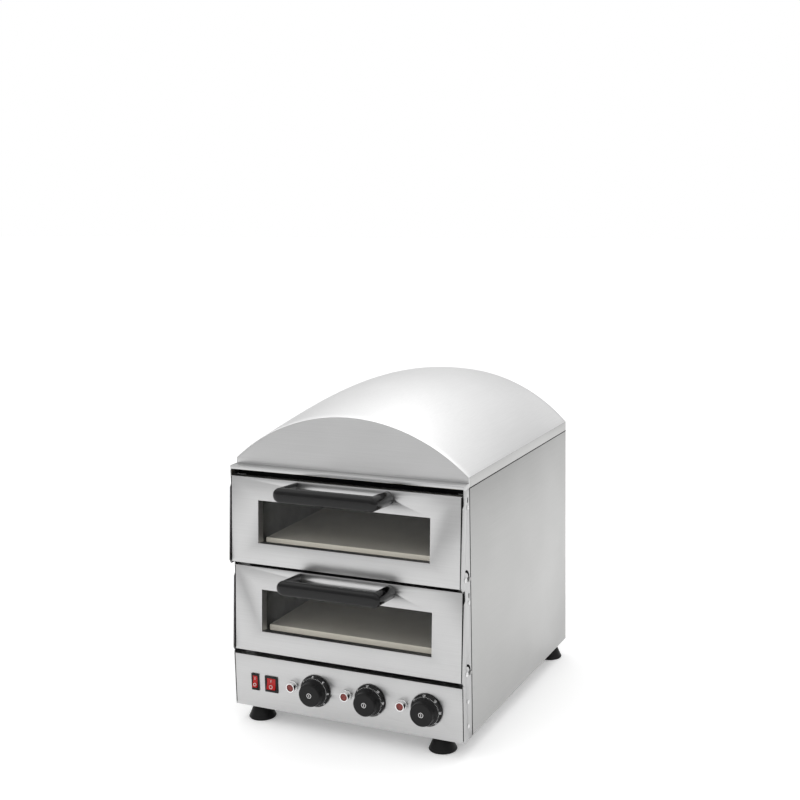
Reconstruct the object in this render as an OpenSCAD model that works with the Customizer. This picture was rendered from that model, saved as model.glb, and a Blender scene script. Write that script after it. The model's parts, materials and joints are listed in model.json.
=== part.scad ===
// Countertop deck oven: two stacked baking chambers behind drop-down glass doors,
// a control panel underneath and a curved roof.
// Body frame used by every module: x across, y back from the control panel's face,
// z up from the underside of the body. place() moves it so that the origin is on the
// worktop, under the middle of the object.

/* [Casing] */
// Width over the side panels
body_w = 450; // [435:5:600]
// Depth from the control panel's face to the back
body_d = 540; // [520:5:700]
// Thickness of the casing sheet
sheet = 1.5; // [1.2:0.1:1.8]
// Height of the control panel
panel_h = 97; // [90:1:130]
// Depth of the front posts
post_d = 36; // [36:1:50]
// Height of the side panels over the top of the upper door
side_rise = 8; // [6:1:20]
// Height of the front ledge's underside over the upper door
top_gap = 11; // [10:1:20]
// Height of the front ledge's lip
ledge_h = 6.5; // [5:0.5:12]
// Front edge of the ledge
ledge_y = 14; // [10:1:20]

/* [Roof] */
// Rise of the roof's arc over its straight sides, at the front
roof_rise = 87; // [60:1:110]
// How much higher the arc rises at the back
roof_lift = 10; // [0:1:20]
// How far the arc bulges up between its ends
roof_bulge = 30; // [0:1:40]
// Height of the roof's straight sides
roof_side = 19; // [16:1:40]

/* [Doors] */
// Height of each door
door_h = 155; // [150:1:190]
// Gap under and between the doors
door_gap = 9; // [8:0.5:14]
// Angle that the closed doors lean back
door_lean = 4.2; // [3:0.1:4.6]
// Thickness of the door's outer sheet
skin_t = 1; // [0.8:0.1:1.2]
// Depth of the door's outer box
door_t = 20; // [19:0.5:20.5]
// Clearance between each door and the posts
door_clear = 1.6; // [0.8:0.1:2]
// Width of the window
window_w = 332; // [250:1:336]
// Height of the window
window_h = 77; // [50:1:80]
// Height of the window's lower edge over the door's lower edge
window_z = 38; // [36:1:44]
// Thickness of the glass
glass_t = 3; // [3:0.5:4]
// Overlap of the glass behind the window's edge
glass_lap = 8; // [5:1:10]

/* [Hinges] */
// Distance of the hinge axis behind the door's lower front edge
pivot_y = 14.5; // [14:0.1:15]
// Height of the hinge axis over the door's lower front edge
pivot_z = 12; // [11:0.1:13]
// Radius of the hinge screws' shanks
pin_r = 2.5; // [2:0.1:3]
// Radial running clearance of the hinge screws
pin_clear = 0.05; // [0.02:0.01:0.1]
// Radius of the arc slots
slot_r = 15; // [14:0.1:15.4]
// Radius of the guide studs
stud_r = 2; // [1.5:0.1:2.5]
// Clearance of the guide studs in their slots
stud_clear = 0.3; // [0.3:0.05:0.6]
// Angle of the guide studs under the horizontal while the doors are closed
stud_rest = 8; // [5:1:12]
// Angle through which the doors open
door_open = 90; // [80:1:92]
// How far the post plates stand in front of the door at its lower edge
plate_proud = 3; // [2:0.1:4]

/* [Handles] */
// Length over the handle's ends
handle_len = 198; // [150:1:260]
// Height of the handle's bar, whose ends are half round
handle_d = 26; // [20:0.5:27]
// Thickness of the handle's bar
handle_t = 13; // [10:0.5:16]
// Depth of the bevel round the front of the handle
handle_bevel = 5; // [3:0.5:7]
// Distance from the door's face to the front of the bar
handle_reach = 67; // [60:0.5:80]
// Height of the handle's middle over the door's lower edge
handle_z = 140.8; // [125:0.2:141]
// Radius of the handle screws' shanks
handle_screw_r = 2.5; // [2:0.1:3]

/* [Chambers] */
// Inside width of the chambers
chamber_w = 370; // [356:1:374]
// Inside depth of the chambers
chamber_d = 400; // [370:5:410]
// Inside height of the chambers
chamber_h = 112; // [108:1:114]
// Height of the chamber's floor over the door's lower edge
chamber_z = 15; // [13:0.5:16]
// Thickness of the chamber's sheet
liner_t = 1; // [0.8:0.1:1.2]
// Width and depth of the baking stones
stone_w = 350; // [300:1:352]
// Thickness of the baking stones
stone_t = 12; // [10:0.5:16]
// Height of the stone's underside over the door's lower edge
stone_z = 25; // [24:0.5:27]
// Diameter of the heating elements
element_d = 7; // [5:0.5:8]
// Distance between the legs of an element
element_pitch = 100; // [60:5:104]

/* [Controls] */
// Diameter of the dials
knob_d = 58; // [40:1:62]
// Distance between the dials
knob_pitch = 107.5; // [95:0.5:115]
// Middle of the left dial
knob_x0 = -58; // [-60:1:-40]
// Height of the dials' axes
knob_z = 50; // [44:1:54]
// How far the dials stand out
knob_reach = 26; // [20:0.5:32]
// Radius of the dials' shafts
shaft_r = 3; // [2.5:0.1:3.5]
// Distance from a dial back to the pilot lamp on its left
lamp_pitch = 46; // [44:0.5:50]
// Diameter of the pilot lamps' bezels
lamp_d = 19; // [14:0.5:21]
// Middle of the light switch
light_x = -182; // [-184:1:-180]
// Width of the light switch
light_w = 15; // [13:0.5:16]
// Height of the light switch
light_h = 31; // [24:0.5:32]
// Middle of the main switch
main_x = -148.5; // [-150:0.5:-146]
// Width of the main switch
main_w = 26; // [22:0.5:28]
// Height of the main switch
main_h = 30; // [26:0.5:32]
// Height of the switches' middle
switch_z = 48; // [44:0.5:52]
// Width of a switch's frame over and under its rocker
switch_frame = 3.6; // [2:0.1:4]
// Width of a switch's frame beside its rocker, as a share of the switch's width
frame_share = 0.15; // [0.1:0.01:0.18]
// Angle between the two positions of a rocker
rocker_throw = 18; // [12:1:20]

/* [Feet and back] */
// Height of the feet
foot_h = 31; // [20:1:60]
// Diameter of the feet on the worktop
foot_base_d = 50; // [40:1:50]
// Diameter of the feet at the body
foot_top_d = 25; // [22:1:40]
// Distance of the feet from the body's front and back
foot_inset = 31; // [28:1:60]
// Radius of the mains cable that the gland takes
cable_r = 4.5; // [3:0.1:6]

/* [Hidden] */
$fn = 96;

// Body
half_w = body_w / 2;
in_w = half_w - sheet;
lower_z = panel_h + door_gap;
upper_z = lower_z + door_h + door_gap;
decks = [lower_z, upper_z];
side_h = upper_z + door_h + side_rise;
ledge_z = upper_z + door_h + top_gap;
seam = 1.2;
rear_y = body_d - 2 * sheet;
roof_len = body_d - post_d;
arc_steps = 28;
length_steps = 12;
return_w = 18;
shield_z = lower_z - door_gap / 2;
corner_r = 4;
vent_y = 216;
louvre_z = 268;

// Doors, in each door's own leaning frame; a tall door leans less, to stay before the posts
pan_t = 1.5;
lean = min(door_lean, asin((post_d - sheet - door_t - pan_t - 0.4) / door_h));
door_hw = in_w - door_clear;
ear_t = 2;
ear_x = door_hw - skin_t - ear_t;
pan_hw = ear_x - 0.3;
pan_y = post_d - 2;
gasket_t = 1.6;
mouth_w = chamber_w - 10;
mouth_z = chamber_z + 11;
mouth_h = chamber_h - 16;
gasket_w = 5.5;
core_lap = 12;
pan_step = 3;
core_step = 8;
reveal_d = door_t - glass_t;
handle_r = handle_d / 2;
bar_half = handle_r - handle_bevel;
end_x = handle_len / 2 - handle_r;
leg_x = end_x + 5;
bore_depth = 18;

// Hinges
slot_w = 2 * (stud_r + stud_clear);
stud_y = pivot_y + slot_r * cos(stud_rest);
stud_z = pivot_z - slot_r * sin(stud_rest);
head_gap = 0.3;
head_t = 1.8;
plate_step = 14;
plate_top = 134;
catch_y = post_d - 7.4;

// Chambers
liner_y = post_d + liner_t;
stone_y = liner_y + 7;
wall_y = liner_y + chamber_d;
wool_t = 25;
shield_back = wall_y + liner_t + wool_t;
elem_r = element_d / 2;
elem_low = chamber_z + 1.2 + elem_r;
elem_high = chamber_z + chamber_h - 10;
elem_front = liner_y + 20;
elem_back = wall_y - 30;
elem_tail = wool_t + 20;
bulb_x = 172;
bulb_z = chamber_z + chamber_h - 25;
bulb_r = 3;
bulb_l = 110;
capillary_r = 1;
capillary_y = wall_y + wool_t + 14;
lamp_x = 120;
jar_r = 16;
jar_z = chamber_z + chamber_h / 2 + 6;

// Controls
knob_xs = [knob_x0, knob_x0 + knob_pitch, knob_x0 + 2 * knob_pitch];
lamp_z = knob_z + 2;
bush_r = 4.8;
bush_hole = 5;
shaft_clear = 0.05;
shaft_in = 14;
knob_back = 2;
lens_r = 6.2;
bezel_l = 12;
lens_l = 11;
lamp_body_r = 6.6;
bezel_t = 2;
rocker_pin_r = 1.2;
rocker_y = 3;
switch_body_d = 24;

// Feet and back
foot_lip = 6;
foot_screw_r = 3;
gland_x = 150;
gland_z = 38;
gland_r = 9;
gland_out = 18;
gland_nut_r = 13;
screw_r = 2;
screw_head_r = 3.6;
screw_head_t = 1.6;

// Place of the origin: under the middle between the handles' fronts and the gland's end
front_y = (handle_z - bar_half) * sin(lean) - handle_reach * cos(lean);
mid_y = (front_y + body_d + gland_out) / 2;

module place() {
    translate([0, -mid_y, foot_h]) children();
}

// A flat piece whose outline is drawn in y and z, from x to x + t
module side_plate(x, t) {
    translate([x, 0, 0]) rotate([90, 0, 90]) linear_extrude(t) children();
}

// A flat piece whose outline is drawn in x and z, from y to y + t
module face_plate(y, t) {
    translate([0, y + t, 0]) rotate([90, 0, 0]) linear_extrude(t) children();
}

// A rod along x from x to x + l, at y and z
module rod_x(x, y, z, r, l) {
    translate([x, y, z]) rotate([0, 90, 0]) cylinder(r = r, h = l);
}

// A rod along y from y to y + l, at x and z
module rod_y(x, y, z, r, l) {
    translate([x, y, z]) rotate([-90, 0, 0]) cylinder(r = r, h = l);
}

// A block from its lowest corner to its highest
module block(low, high) {
    translate(low) cube(high - low);
}

module both_sides() {
    children();
    mirror([1, 0, 0]) children();
}

module rounded(w, h, r) {
    square([w - 2 * r, h], center = true);
    square([w, h - 2 * r], center = true);
    for (sx = [-1, 1], sz = [-1, 1]) {
        translate([sx * (w / 2 - r), sz * (h / 2 - r)]) circle(r);
    }
}

// The leaning frame of the door whose lower edge is at height z
module door_frame(z) {
    translate([0, 0, z]) rotate([-lean, 0, 0]) children();
}

// ---- casing ----

module bottom_pan() {
    flange_h = 24;
    slot_l = 60;
    color("silver") difference() {
        union() {
            block([-in_w, sheet, 0], [in_w, rear_y, sheet]);
            both_sides() block([in_w - sheet, post_d, 0], [in_w, rear_y, flange_h]);
        }
        foot_holes();
        for (i = [-3 : 3], j = [0 : 2]) {
            translate([i * 24, vent_y + j * 75, -1]) block([-2, 0, 0], [2, slot_l, 4]);
        }
    }
}

module foot_holes() {
    for (p = foot_places()) {
        translate([p[0], p[1], -1]) cylinder(r = foot_screw_r, h = sheet + 2);
    }
}

function foot_places() = [
    [-half_w + 36, foot_inset], [half_w - 53, foot_inset],
    [-half_w + 25, body_d - foot_inset], [half_w - 25, body_d - foot_inset]
];

// A side panel, with its return behind the rear panel
module side_panel() {
    color("gainsboro") difference() {
        union() {
            block([in_w, post_d + seam, 0], [half_w, body_d, side_h]);
            block([in_w - return_w, body_d - sheet, 0], [half_w, body_d, side_h]);
        }
        rear_screw_holes();
    }
}

module right_side_panel() {
    side_panel();
}

module left_side_panel() {
    mirror([1, 0, 0]) side_panel();
}

function rear_screw_zs() = [24, side_h / 2, side_h - 24];

module rear_screw_holes() {
    for (z = rear_screw_zs()) {
        rod_y(in_w - return_w / 2, body_d - 3 * sheet, z, screw_r, 4 * sheet);
    }
}

// Outline of a front post's plate: it steps forward beside each door
module post_outline() {
    translate([plate_step, 0]) square([post_d - plate_step, side_h]);
    square([post_d, lower_z - door_gap / 2]);
    for (z = decks) {
        polygon([
            [plate_step + 1, z - 5], [2, z - 5], [-plate_proud, z + 3],
            [plate_top * sin(lean) - 0.4, z + plate_top],
            [plate_step + 1, z + plate_top + 7]
        ]);
    }
}

// The arc in which a door's guide stud runs
module arc_slot(z) {
    a0 = -stud_rest;
    a1 = door_open - stud_rest;
    translate([pivot_y, z + pivot_z]) {
        intersection() {
            difference() {
                circle(slot_r + slot_w / 2);
                circle(slot_r - slot_w / 2);
            }
            polygon([
                [0, 0], [40 * cos(a0), 40 * sin(a0)],
                [60 * cos((a0 + a1) / 2), 60 * sin((a0 + a1) / 2)], [40 * cos(a1), 40 * sin(a1)]
            ]);
        }
        for (a = [a0, a1]) {
            translate([slot_r * cos(a), slot_r * sin(a)]) circle(slot_w / 2);
        }
    }
}

module front_post() {
    color("gainsboro") difference() {
        union() {
            side_plate(in_w, sheet) difference() {
                post_outline();
                for (z = decks) {
                    arc_slot(z);
                    translate([catch_y, z + door_h - 9.2]) rounded(4.5, 9.5, 2.2);
                    translate([pivot_y, z + pivot_z]) circle(pin_r + pin_clear);
                }
            }
            block([in_w - return_w, post_d - sheet, sheet], [half_w, post_d, upper_z + door_h - 2]);
        }
        post_screws(0);
    }
}

module right_front_post() {
    front_post();
}

module left_front_post() {
    mirror([1, 0, 0]) front_post();
}

function post_screw_places() = [
    [19, 24.3], [19, 67.9],
    [catch_y, lower_z + door_h - 21.7], [catch_y, upper_z + door_h - 21.7]
];

// Screws through a post's plate; the two lower ones hold the control panel
module post_screws(head) {
    for (p = post_screw_places()) {
        rod_x(in_w - 2, p[0], p[1], screw_r, sheet + 2);
        if (head > 0) {
            rod_x(half_w, p[0], p[1], head, screw_head_t);
        }
    }
}

module front_ledge() {
    color("gainsboro") union() {
        block([-half_w, ledge_y, ledge_z + ledge_h - sheet], [half_w, post_d, ledge_z + ledge_h]);
        block([-half_w, ledge_y, ledge_z], [half_w, ledge_y + sheet, ledge_z + ledge_h]);
        both_sides() block([in_w, ledge_y, side_h], [half_w, post_d, ledge_z + ledge_h]);
    }
}

module control_panel() {
    fold = 28;
    color("gainsboro") difference() {
        union() {
            face_plate(0, sheet) lower_corners_off() translate([-in_w, 0]) square([2 * in_w, panel_h]);
            block([-in_w, 0, panel_h - sheet], [in_w, fold, panel_h]);
            both_sides() block([in_w - sheet, 0, corner_r], [in_w, fold, panel_h]);
        }
        for (x = knob_xs) {
            rod_y(x, -1, knob_z, bush_hole, sheet + 2);
            rod_y(x - lamp_pitch, -1, lamp_z, lamp_body_r, sheet + 2);
        }
        switch_hole(light_x, light_w, light_h);
        switch_hole(main_x, main_w, main_h);
        both_sides() post_screws(0);
    }
}

// Its children without the two lower corners, which are rounded
module lower_corners_off() {
    difference() {
        children();
        both_sides() translate([in_w - corner_r, 0]) difference() {
            translate([0, -1]) square([corner_r + 1, corner_r + 1]);
            translate([0, corner_r]) circle(corner_r);
        }
    }
}

module switch_hole(x, w, h) {
    translate([x, 0, switch_z]) {
        block([-w / 2 + 1, -1, -h / 2 + 1], [w / 2 - 1, sheet + 1, h / 2 - 1]);
    }
}

module heat_shield() {
    color("darkgray") union() {
        block([-in_w, post_d, shield_z - sheet], [in_w, shield_back, shield_z]);
        both_sides() {
            block([in_w - sheet, post_d, shield_z - 15], [in_w, shield_back, shield_z]);
        }
    }
}

module louvre(x, z) {
    translate([x, rear_y - 1, z]) rotate([-90, 0, 0]) linear_extrude(sheet + 2) rounded(90, 5, 2.4);
}

module rear_panel() {
    color("silver") difference() {
        block([-in_w, rear_y, 0], [in_w, rear_y + sheet, side_h]);
        for (sx = [-1, 1], j = [0 : 5]) {
            louvre(sx * 80, louvre_z + j * 14);
        }
        for (j = [0 : 3]) {
            louvre(-60, 26 + j * 14);
        }
        rod_y(gland_x, rear_y - 1, gland_z, gland_r, sheet + 2);
        both_sides() rear_screw_holes();
    }
}

// Rise and radius of the roof's arc at a share of its length, from the front to the back
function rise_at(share) = roof_rise + roof_lift * share + 4 * roof_bulge * share * (1 - share);
function radius_at(share) = (half_w * half_w + pow(rise_at(share), 2)) / (2 * rise_at(share));
function arc_z(share, margin, x) =
    side_h + roof_side + rise_at(share) - radius_at(share)
        + sqrt(pow(radius_at(share) - margin, 2) - x * x);

// The roof's section inside a margin, from the left lower edge over the arc to the right one
function roof_section(share, margin) =
    let (hw = half_w - margin, foot = side_h + seam)
    [
        [-hw, foot],
        for (i = [0 : arc_steps]) let (x = hw * (2 * i / arc_steps - 1)) [x, arc_z(share, margin, x)],
        [hw, foot]
    ];

// A thin domed sheet whose sections are straight across the length
module roof_cover() {
    count = arc_steps + 3;
    last = count - 1;
    points = [
        for (k = [0 : length_steps]) let (share = k / length_steps)
            for (margin = [0, sheet]) for (p = roof_section(share, margin))
                [p[0], post_d + share * roof_len, p[1]]
    ];
    function over(k, i) = 2 * count * k + i;
    function under(k, i) = over(k, i) + count;
    ends = length_steps;
    faces = [
        for (k = [0 : length_steps - 1]) each [
            for (i = [0 : last - 1]) each [
                [over(k, i), over(k + 1, i), over(k + 1, i + 1), over(k, i + 1)],
                [under(k, i), under(k, i + 1), under(k + 1, i + 1), under(k + 1, i)]
            ],
            [over(k, 0), under(k, 0), under(k + 1, 0), over(k + 1, 0)],
            [under(k, last), over(k, last), over(k + 1, last), under(k + 1, last)]
        ],
        for (i = [0 : last - 1]) each [
            [over(0, i), over(0, i + 1), under(0, i + 1), under(0, i)],
            [under(ends, i), under(ends, i + 1), over(ends, i + 1), over(ends, i)]
        ]
    ];
    color("white") polyhedron(points, faces, convexity = 4);
}

module roof_gables() {
    color("gray") {
        face_plate(post_d, sheet) polygon(roof_section(0, sheet));
        face_plate(body_d - sheet, sheet) polygon(roof_section(1, sheet));
    }
}

module roof_deck() {
    color("silver") union() {
        block([-in_w, post_d + sheet, side_h - sheet], [in_w, rear_y, side_h]);
        both_sides() {
            block([in_w - sheet, post_d + sheet, side_h - sheet], [in_w, rear_y, side_h + 12]);
        }
    }
}

// ---- chambers ----

// A chamber of sheet with a frame round its mouth; z is its door's lower edge
module liner(z) {
    frame_hw = in_w - 2;
    color("dimgray") difference() {
        union() {
            block([-frame_hw, post_d, z - door_gap / 2], [frame_hw, liner_y, z + door_h + door_gap / 2]);
            block(
                [-chamber_w / 2 - liner_t, post_d, z + chamber_z - liner_t],
                [chamber_w / 2 + liner_t, wall_y + liner_t, z + chamber_z + chamber_h + liner_t]
            );
        }
        block([-chamber_w / 2, liner_y, z + chamber_z], [chamber_w / 2, wall_y, z + chamber_z + chamber_h]);
        block([-mouth_w / 2, post_d - 1, z + mouth_z], [mouth_w / 2, liner_y + 1, z + mouth_z + mouth_h]);
        rear_passes(z, 0.3);
    }
}

// What goes through a chamber's rear wall and the wool behind it
module rear_passes(z, gap) {
    for (sx = [-1, 1], ez = [elem_low, elem_high]) {
        rod_y(sx * 1.5 * element_pitch, wall_y - 1, z + ez, elem_r + gap, wool_t + 4);
    }
    rod_y(bulb_x, wall_y - 1, z + bulb_z, bulb_r + gap, wool_t + 4);
    rod_y(lamp_x, wall_y - 1, z + jar_z, jar_r - 3 + gap, wool_t + 4);
}

module upper_liner() {
    liner(upper_z);
}

module lower_liner() {
    liner(lower_z);
}

// Boards of rock wool under, between, over, beside and behind the chambers
module insulation() {
    hw = chamber_w / 2 + liner_t;
    side_t = min(wool_t, in_w - hw - sheet - 2);
    deck_low = lower_z + chamber_z - liner_t;
    deck_top = upper_z + chamber_z + chamber_h + liner_t;
    between = lower_z + chamber_z + chamber_h + liner_t;
    color("khaki") {
        block([-hw, liner_y, shield_z], [hw, wall_y, deck_low]);
        block([-hw, liner_y, between], [hw, wall_y, upper_z + chamber_z - liner_t]);
        block([-hw, liner_y, deck_top], [hw, wall_y, side_h - sheet]);
        both_sides() block([hw, liner_y, shield_z], [hw + side_t, wall_y, side_h - sheet]);
        difference() {
            block(
                [-hw, wall_y + liner_t, shield_z],
                [hw, wall_y + liner_t + wool_t, side_h - sheet]
            );
            for (z = decks) {
                rear_passes(z, 0.3);
            }
        }
    }
}

module stone(z) {
    color("wheat") translate([0, stone_y, z + stone_z]) {
        block([-stone_w / 2, 0, 0], [stone_w / 2, stone_w, stone_t]);
    }
}

module upper_stone() {
    stone(upper_z);
}

module lower_stone() {
    stone(lower_z);
}

module stone_ledges() {
    leaf = 1.5;
    reach = (chamber_w - stone_w) / 2 + 8;
    color("dimgray") both_sides() {
        for (z = decks) {
            translate([chamber_w / 2, liner_y + 4, z]) {
                block([-reach, 0, stone_z - leaf], [0, stone_w + 8, stone_z]);
                block([-leaf, 0, chamber_z], [0, stone_w + 8, stone_z]);
            }
        }
    }
}

// A tube bent forwards and back between its two ends in the rear wall, at height z
module element(z) {
    bend = element_pitch / 2;
    front = elem_front + bend;
    back = elem_back - bend;
    translate([0, 0, z]) {
        for (sx = [-1, 1]) {
            rod_y(sx * 1.5 * element_pitch, front, 0, elem_r, wall_y + elem_tail - front);
            rod_y(sx * bend, front, 0, elem_r, back - front);
            translate([sx * element_pitch, front, 0]) half_turn(180, bend);
        }
        translate([0, back, 0]) half_turn(0, bend);
    }
}

module half_turn(a, bend) {
    rotate([0, 0, a]) rotate_extrude(angle = 180) translate([bend, 0]) circle(elem_r, $fn = 32);
}

module upper_elements() {
    color("darkslategray") {
        element(upper_z + elem_low);
        element(upper_z + elem_high);
    }
}

module lower_elements() {
    color("darkslategray") {
        element(lower_z + elem_low);
        element(lower_z + elem_high);
    }
}

// Bulbs in the chambers, with capillaries down behind them and forward to the thermostats
module thermostat_bulbs() {
    color("peru") {
        thermostat_bulb(upper_z, knob_xs[1], 0);
        thermostat_bulb(lower_z, knob_xs[2], 1);
    }
}

module thermostat_bulb(z, x, lane) {
    y = capillary_y - lane * 6;
    low = knob_z + 8 + lane * 6;
    body_back = sheet + 32;
    rod_y(bulb_x, wall_y - bulb_l, z + bulb_z, bulb_r, bulb_l + wool_t + 4);
    rod_y(bulb_x, wall_y + wool_t, z + bulb_z, capillary_r, y - wall_y - wool_t);
    translate([bulb_x, y, low]) cylinder(r = capillary_r, h = z + bulb_z - low);
    rod_x(x, y, low, capillary_r, bulb_x - x);
    rod_y(x, body_back, low, capillary_r, y - body_back);
    translate([bulb_x, y, z + bulb_z]) sphere(capillary_r);
    translate([bulb_x, y, low]) sphere(capillary_r);
    translate([x, y, low]) sphere(capillary_r);
}

// Glass jars on the chambers' rear walls, with their sockets behind
module oven_lamps() {
    color("lightyellow") {
        for (z = decks) {
            rod_y(lamp_x, wall_y - 4, z + jar_z, jar_r, 4);
            rod_y(lamp_x, wall_y - 22, z + jar_z, jar_r - 3, 22 + wool_t + 12);
            translate([lamp_x, wall_y - 22, z + jar_z]) sphere(jar_r - 3);
        }
    }
}

// ---- controls ----

// The bush through the control panel and the bore for a dial's shaft
module control_body(x) {
    difference() {
        union() {
            rod_y(x, 0.2, knob_z, bush_r, sheet);
            children();
        }
        rod_y(x, -1, knob_z, shaft_r + shaft_clear, shaft_in + 1.5);
    }
}

module timer() {
    color("gray") control_body(knob_xs[0]) {
        rod_y(knob_xs[0], sheet, knob_z, 22, 40);
    }
}

module thermostat(x) {
    color("gray") control_body(x) {
        block([x - 20, sheet, knob_z - 15], [x + 20, sheet + 32, knob_z + 19]);
    }
}

module upper_thermostat() {
    thermostat(knob_xs[1]);
}

module lower_thermostat() {
    thermostat(knob_xs[2]);
}

// A dial: a wide skirt with a narrower grip in front
module knob(x) {
    skirt = knob_reach / 2;
    color("black") difference() {
        union() {
            translate([x, -knob_back, knob_z]) rotate([90, 0, 0]) {
                cylinder(r1 = knob_d / 2, r2 = knob_d / 2 - 3, h = skirt - knob_back);
                cylinder(r1 = knob_d / 2 - 8, r2 = knob_d / 2 - 9.5, h = knob_reach - knob_back);
            }
        }
        rod_y(x, -knob_reach + 5, knob_z, shaft_r, knob_reach);
    }
}

module shaft(x) {
    color("silver") rod_y(x, -knob_reach + 5, knob_z, shaft_r, knob_reach - 5 + shaft_in);
}

module timer_knob() {
    knob(knob_xs[0]);
}

module upper_knob() {
    knob(knob_xs[1]);
}

module lower_knob() {
    knob(knob_xs[2]);
}

module timer_shaft() {
    shaft(knob_xs[0]);
}

module upper_shaft() {
    shaft(knob_xs[1]);
}

module lower_shaft() {
    shaft(knob_xs[2]);
}

module lamp_bezels() {
    color("lightgray") for (kx = knob_xs) {
        difference() {
            translate([kx - lamp_pitch, 0, lamp_z]) rotate([90, 0, 0]) {
                cylinder(r = lamp_d / 2, h = 2.5);
                cylinder(r = lamp_d / 2 - 1, h = bezel_l);
            }
            rod_y(kx - lamp_pitch, -bezel_l - 1, lamp_z, lens_r, bezel_l + 2);
        }
    }
}

module lamp_lenses() {
    color("orangered") for (kx = knob_xs) {
        rod_y(kx - lamp_pitch, -lens_l, lamp_z, lens_r, lens_l + 22);
    }
}

// Half the width of the recess in a switch of width w
function recess_w(w) = w * (0.5 - frame_share);

// A switch body behind the panel, with the recess in which its rocker tilts
module switch_housing(x, w, h) {
    hw = recess_w(w);
    color("black") translate([x, 0, switch_z]) difference() {
        union() {
            block([-w / 2, -bezel_t, -h / 2], [w / 2, 0, h / 2]);
            block([-w / 2 + 1, 0, -h / 2 + 1], [w / 2 - 1, switch_body_d, h / 2 - 1]);
        }
        block([-hw, -bezel_t - 1, switch_frame - h / 2], [hw, rocker_y + 6, h / 2 - switch_frame]);
        rod_x(-hw - 0.8, rocker_y, 0, rocker_pin_r + shaft_clear, 2 * hw + 1.6);
    }
}

module light_switch_housing() {
    switch_housing(light_x, light_w, light_h);
}

module main_switch_housing() {
    switch_housing(main_x, main_w, main_h);
}

// A rocker on its own pins, at rest with its upper half pressed in
module rocker(x, w, h) {
    tip = h / 2 - switch_frame - 1.2;
    hw = recess_w(w) - 0.3;
    front = rocker_y + 3.4;
    color("red") translate([x, rocker_y, switch_z]) rotate([-rocker_throw / 2, 0, 0]) {
        side_plate(-hw, 2 * hw) polygon([
            [3, -4], [3, 4], [-front + 2, tip], [-front, tip], [-front + 1.4, 0],
            [-front, -tip], [-front + 2, -tip]
        ]);
        rod_x(-hw - 0.9, 0, 0, rocker_pin_r, 2 * hw + 1.8);
    }
}

module light_rocker() {
    rocker(light_x, light_w, light_h);
}

module main_rocker() {
    rocker(main_x, main_w, main_h);
}

// ---- fixings, feet and back ----

module terminal_block() {
    pitch = 12;
    color("ivory") translate([gland_x - 90, body_d - 95, sheet]) difference() {
        block([0, 0, 0], [6 * pitch, 24, 20]);
        for (i = [0 : 5]) {
            translate([(i + 0.5) * pitch, 6, 8]) cylinder(r = 2.5, h = 20);
            translate([(i + 0.5) * pitch, 18, 8]) cylinder(r = 2.5, h = 20);
        }
    }
}

module cable_gland() {
    color("black") difference() {
        union() {
            rod_y(gland_x, rear_y - 14, gland_z, gland_r, body_d + gland_out - 4 - rear_y + 14);
            rod_y(gland_x, rear_y + sheet, gland_z, gland_nut_r, 7);
            rod_y(gland_x, rear_y - 6, gland_z, gland_nut_r, 6);
            translate([gland_x, body_d + gland_out - 5, gland_z]) rotate([-90, 0, 0]) {
                cylinder(r1 = gland_r + 2, r2 = gland_r - 2, h = 5);
            }
        }
        rod_y(gland_x, rear_y - 15, gland_z, cable_r, body_d);
    }
}

module feet() {
    color("black") for (p = foot_places()) {
        translate([p[0], p[1], -foot_h]) difference() {
            union() {
                cylinder(r = foot_base_d / 2, h = foot_lip);
                translate([0, 0, foot_lip]) {
                    cylinder(r1 = foot_base_d / 2, r2 = foot_top_d / 2, h = foot_h - foot_lip);
                }
            }
            translate([0, 0, -1]) cylinder(r = 8, h = foot_h / 2 + 1);
            cylinder(r = foot_screw_r, h = foot_h + 1);
        }
    }
}

module foot_screws() {
    color("silver") for (p = foot_places()) {
        translate([p[0], p[1], 0]) {
            translate([0, 0, -foot_h / 2 - 4]) cylinder(r = 6, h = 4);
            translate([0, 0, -foot_h / 2 - 1]) cylinder(r = foot_screw_r, h = foot_h / 2 + 9);
            translate([0, 0, sheet]) cylinder(r = 5.5, h = 5);
        }
    }
}

module casing_screws() {
    color("silver") both_sides() {
        for (p = post_screw_places()) {
            rod_x(in_w, p[0], p[1], screw_r, sheet);
            rod_x(half_w, p[0], p[1], screw_head_r, screw_head_t);
        }
        for (z = rear_screw_zs()) {
            rod_y(in_w - return_w / 2, rear_y, z, screw_r, 2 * sheet);
            rod_y(in_w - return_w / 2, body_d, z, screw_head_r, screw_head_t);
        }
    }
}

// Screws fixed in the posts, on which the doors' ears turn
module hinge_screws() {
    color("silver") both_sides() for (z = decks) {
        rod_x(ear_x - 2, pivot_y, z + pivot_z, pin_r, half_w - ear_x + 2);
        rod_x(half_w, pivot_y, z + pivot_z, 4.2, head_t);
    }
}

// ---- doors ----

module window_outline(margin) {
    translate([-window_w / 2 - margin, window_z - margin]) {
        square([window_w + 2 * margin, window_h + 2 * margin]);
    }
}

// The outer sheet: face, returns round the edge and round the window
module door_skin(z) {
    color("gainsboro") difference() {
        door_frame(z) {
            difference() {
                union() {
                    face_plate(0, door_t) difference() {
                        translate([-door_hw, 0]) square([2 * door_hw, door_h]);
                        translate([-door_hw + skin_t, skin_t]) {
                            square([2 * (door_hw - skin_t), door_h - 2 * skin_t]);
                        }
                    }
                    face_plate(0, skin_t) translate([-door_hw, 0]) square([2 * door_hw, door_h]);
                    face_plate(0, reveal_d) window_outline(skin_t);
                }
                face_plate(-1, door_t + 2) window_outline(0);
                both_sides() rod_y(leg_x, -1, handle_z, handle_screw_r, 3);
            }
        }
        rod_x(-half_w, pivot_y, z + pivot_z, pin_r + 0.5, body_w);
    }
}

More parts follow.
